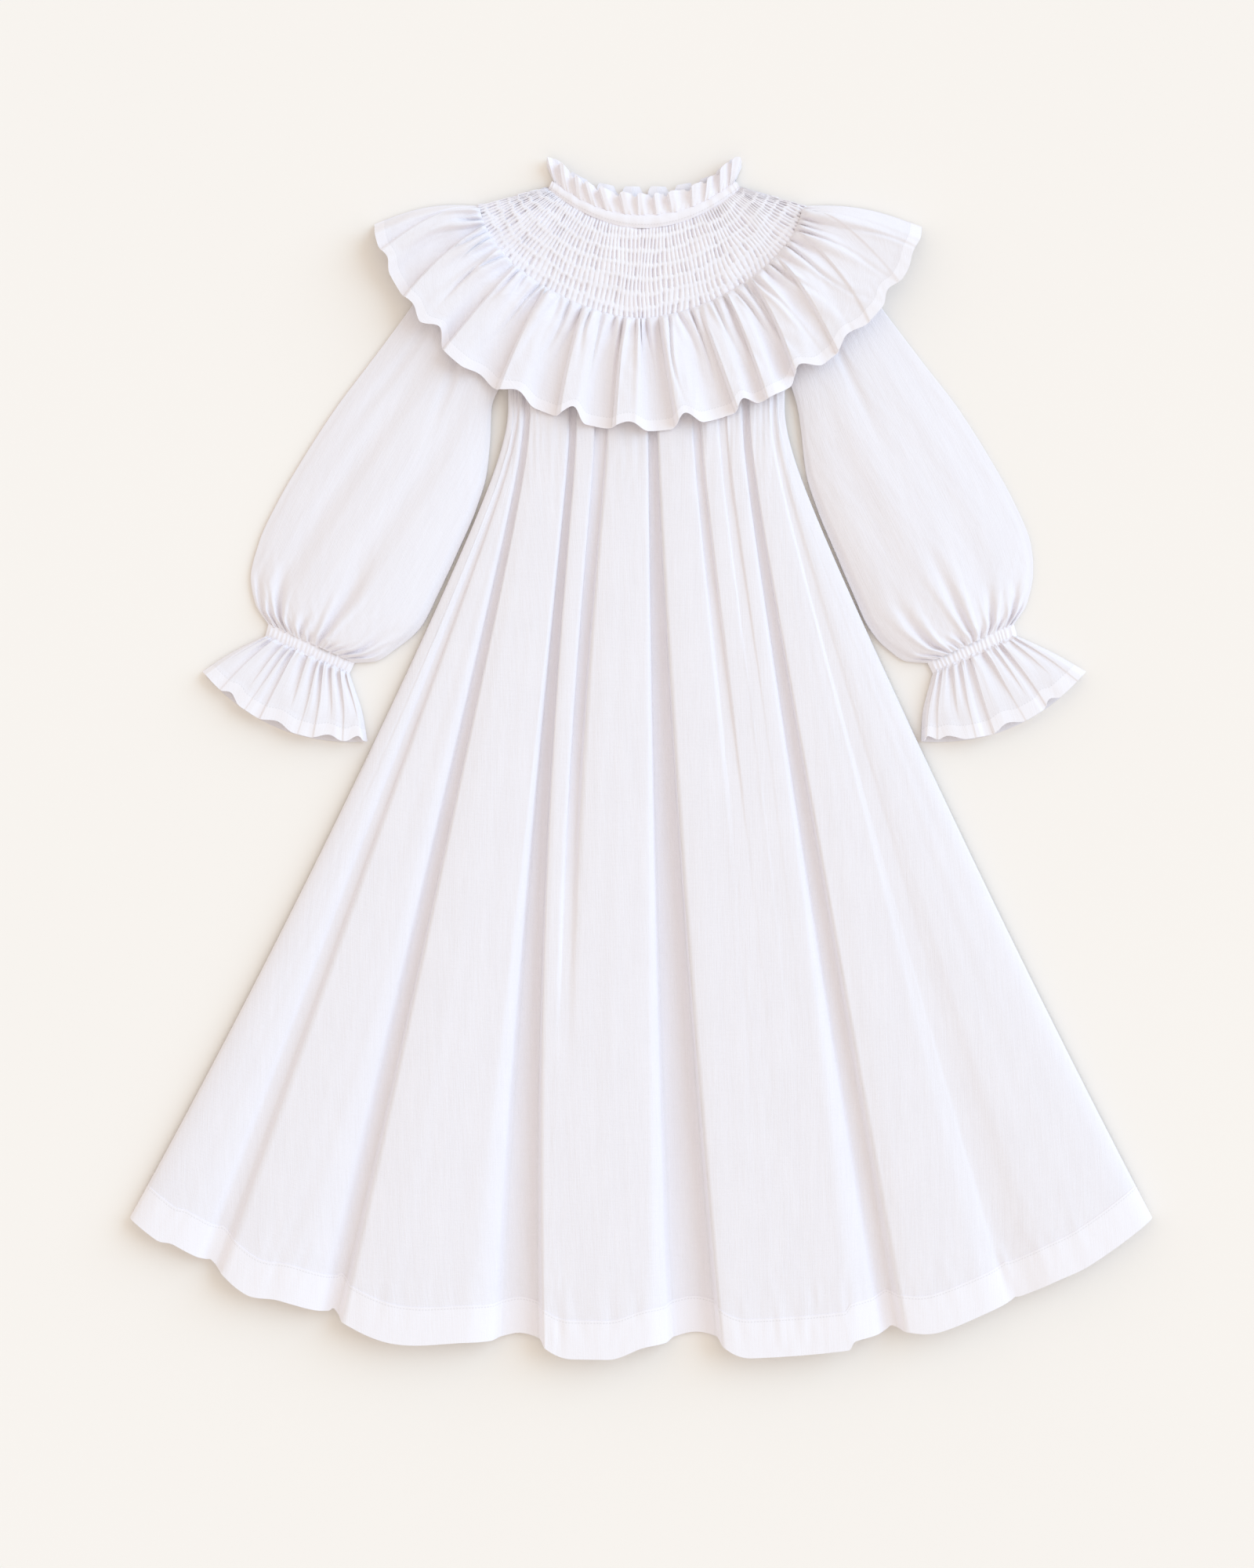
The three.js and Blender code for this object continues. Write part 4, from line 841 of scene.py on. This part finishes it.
def ruffle_points():
    """Strip round the yoke: its folds stand up from the seam, small gathers along the seam die away, and
    the free edge is drawn back in arches."""
    down = np.concatenate([np.linspace(0, 0.3, 24)[:-1], np.linspace(0.3, 1, 28)])
    turn, fold, _ = folded_strip(RUFFLE_FOLDS, down, -1, 1, RUFFLE_PITCH)
    down = down[:, None]
    outside = np.abs(turn)
    side = 1 - smooth(0.94, 1, outside)
    wander = turn + 0.010 * ripple(100 * turn, 80 * down, 62, 14, 90)
    slit = (0.5 + 0.5 * np.cos(np.pi * RUFFLE_GATHERS * wander)) ** GATHER_TIGHTNESS
    long = np.maximum(0.19 + 0.10 * ripple(100 * turn, 0 * down, 63, 7, 50), 0.05)
    gather = GATHER_HEIGHT * (1 - slit) * np.exp(-down / long)
    swell = 0.20 * ripple(180 * turn, 80 * down, 64, 22, 140)
    swell = swell + 0.06 * ripple(180 * turn, 80 * down, 65, 8, 16)
    rise = RUFFLE_RISE * fold * (0.55 + 0.45 * down) * (1 - 0.4 * smooth(0.6, 0.95, turn))
    hem = HEM_TURN * smooth(RUFFLE_HEM_TOP - 0.2, RUFFLE_HEM_TOP + 0.2, RUFFLE_DEPTH * down)
    seat = OVER_ONE + side * (RUFFLE_HEAD + (RUFFLE_LIFT - RUFFLE_HEAD) * smooth(0, 0.3, down) - OVER_ONE)
    z = seat + CLOTH - 0.4 + side * (1 - np.exp(-(down + 0.003) / 0.03)) * (rise + gather + swell + 0.4) + hem
    reach = RUFFLE_DEPTH + 3.5 - 5 * smooth(0.5, 0.75, -turn) + RUFFLE_REACH * smooth(0.6, 1, turn)
    pull = down ** 3 * sum(high * mound(turn - middle, half) for middle, half, high in RUFFLE_ARCHES)
    plan = ruffle_at(turn, -0.6 + reach * down - pull)
    plan[..., 1] += RUFFLE_BOW * np.sin(np.pi * down) * smooth(0.8, 1, outside)
    return raised(plan, z), RUFFLE_DEPTH * down[:, 0]


ruffle_cotton = cotton("cotton_ruffle", hem_from=RUFFLE_HEM_TOP * MM,
                       stitch_at=(RUFFLE_HEM_TOP + HEM_STITCH_IN) * MM)
points, strip = ruffle_points()
ruffle_front = cloth("front_ruffle", points, "ruffle_front", ruffle_cotton, down=strip)

# Neck band. A doubled strip of the same cotton, cut on the bias and sewn round the neckline, where it
# holds the smocking and the frill; it is rounded by the seams inside and stitched along its lower edge.
BAND_CROWN, BAND_PUFF, BAND_FULLNESS = 1.6, 1.9, 0.45
BAND_STITCH = 0.0076   # metres below the band's upper edge
turn, up = np.linspace(-1, 1, 241)[None, :], np.linspace(1, -0.12, 15)[:, None]
band_seat = DOUBLE + SEAM + BAND_CROWN * np.cos(np.radians(90 * turn))
puff = BAND_PUFF * np.sin(np.pi * np.clip(up, 0, 1)) ** BAND_FULLNESS
puff = puff + 0.15 * ripple(70 * turn, 9 * up, 71, 9, 40)
band_plan = neck_line(turn, BAND_WIDTH * up, BAND_END_WIDTH * up, BAND_LEAN * up)
band_cotton = cotton("cotton_band", doubled=True, stitch_at=BAND_STITCH)
band_front = cloth("front_neck_band", raised(band_plan, band_seat + DOUBLE + puff), "neck_band_front",
                   band_cotton, BAND_WALL, down=BAND_WIDTH * (1 - up[:, 0]))

# Neck frill. A narrow hemmed strip gathered to the top of the neck band, front and back, in small
# upright flutes; the back one stands a little higher and shows behind the front one.
FRILL_END, FRILL_LEAN, FRILL_FLARE = 15.0, -5.0, 4.0
FRILL_TUCK, FRILL_OVERLAP, FRILL_ROOT = 0.8, 1.4, 1.2
NECK_PLEATS, NECK_PLEAT_RISE, NECK_FRILL_WALL = 44, 0.5, 0.6
NECK_FRILL_PITCH = 0.0065
FRONT_FRILL_FOLDS = [
    # sharp edge at the band and at the free edge, hollow's share of the fold before, depth below and above
    (-0.717, -0.672, 0.35, 0.9, 0.9), (-0.538, -0.508, 0.35, 0.9, 0.8), (-0.400, -0.420, 0.30, 0.8, 0.5),
    (-0.284, -0.310, 0.40, 1.0, 1.0), (-0.142, -0.165, 0.40, 1.0, 1.0), (-0.045, -0.050, 0.30, 0.8, 0.6),
    (0.080, 0.060, 0.35, 1.0, 1.0), (0.194, 0.150, 0.45, 1.0, 1.0), (0.351, 0.315, 0.45, 1.0, 1.0),
    (0.460, 0.440, 0.30, 0.7, 0.5), (0.620, 0.560, 0.40, 1.0, 1.0), (0.780, 0.700, 0.30, 0.7, 0.5),
]
BACK_FRILL_EDGES = (-0.78, -0.56, -0.33, -0.15, 0.02, 0.195, 0.37, 0.52, 0.655, 0.80)
BACK_FRILL_FOLDS = [(place, place, 0.22, 1.0, 1.0) for place in BACK_FRILL_EDGES]
neck_frill_cotton = cotton("cotton_neck_frill", doubled=True)


def neck_frill(folds, reach, drop, seat, crown, rise, sink):
    """Strip above the band: its folds grow towards the free edge, which drops in the hollows; tiny pleats
    stand along the band, and the ends flare out. It lies at the height seat, and by crown higher at the
    middle of the neck."""
    up = np.linspace(1, 0, 18)
    turn, fold, way = folded_strip(folds, up, -1, 1, NECK_FRILL_PITCH)
    up = up[:, None]
    end = 1 - smooth(0.93, 1, np.abs(turn))
    flare_out = FRILL_FLARE * mound(np.abs(turn) - 0.70, 0.28)
    drop = drop * (1 - smooth(0, 0.55, mound(way - 0.42, 0.55))) - flare_out
    tall = BAND_WIDTH - FRILL_TUCK + (reach + FRILL_OVERLAP - drop) * up
    tall_end = BAND_END_WIDTH - FRILL_TUCK + (FRILL_END + FRILL_OVERLAP - drop) * up
    plan = neck_line(turn, tall, tall_end, BAND_LEAN + FRILL_LEAN * up)
    pleats = NECK_PLEAT_RISE * np.cos(np.pi * NECK_PLEATS * turn) * np.exp(-up / 0.22)
    flutes = fold * (FRILL_ROOT + (rise - FRILL_ROOT) * up)
    lies = seat + crown * np.cos(np.radians(90 * turn))
    return raised(plan, lies + CLOTH + end * (flutes + pleats - sink * np.exp(-up / 0.1)))


points = neck_frill(FRONT_FRILL_FOLDS, reach=12.8, drop=2.2, seat=DOUBLE + SEAM + 0.6, crown=2.2,
                    rise=7.2, sink=0.6)
frill_front = cloth("front_neck_frill", points, "neck_frill_front", neck_frill_cotton,
                    NECK_FRILL_WALL)
points = neck_frill(BACK_FRILL_FOLDS, reach=19.5, drop=5.5, seat=0.1, crown=0, rise=3.2, sink=0)
frill_back = cloth("back_neck_frill", points, "neck_frill_back", neck_frill_cotton,
                   NECK_FRILL_WALL)
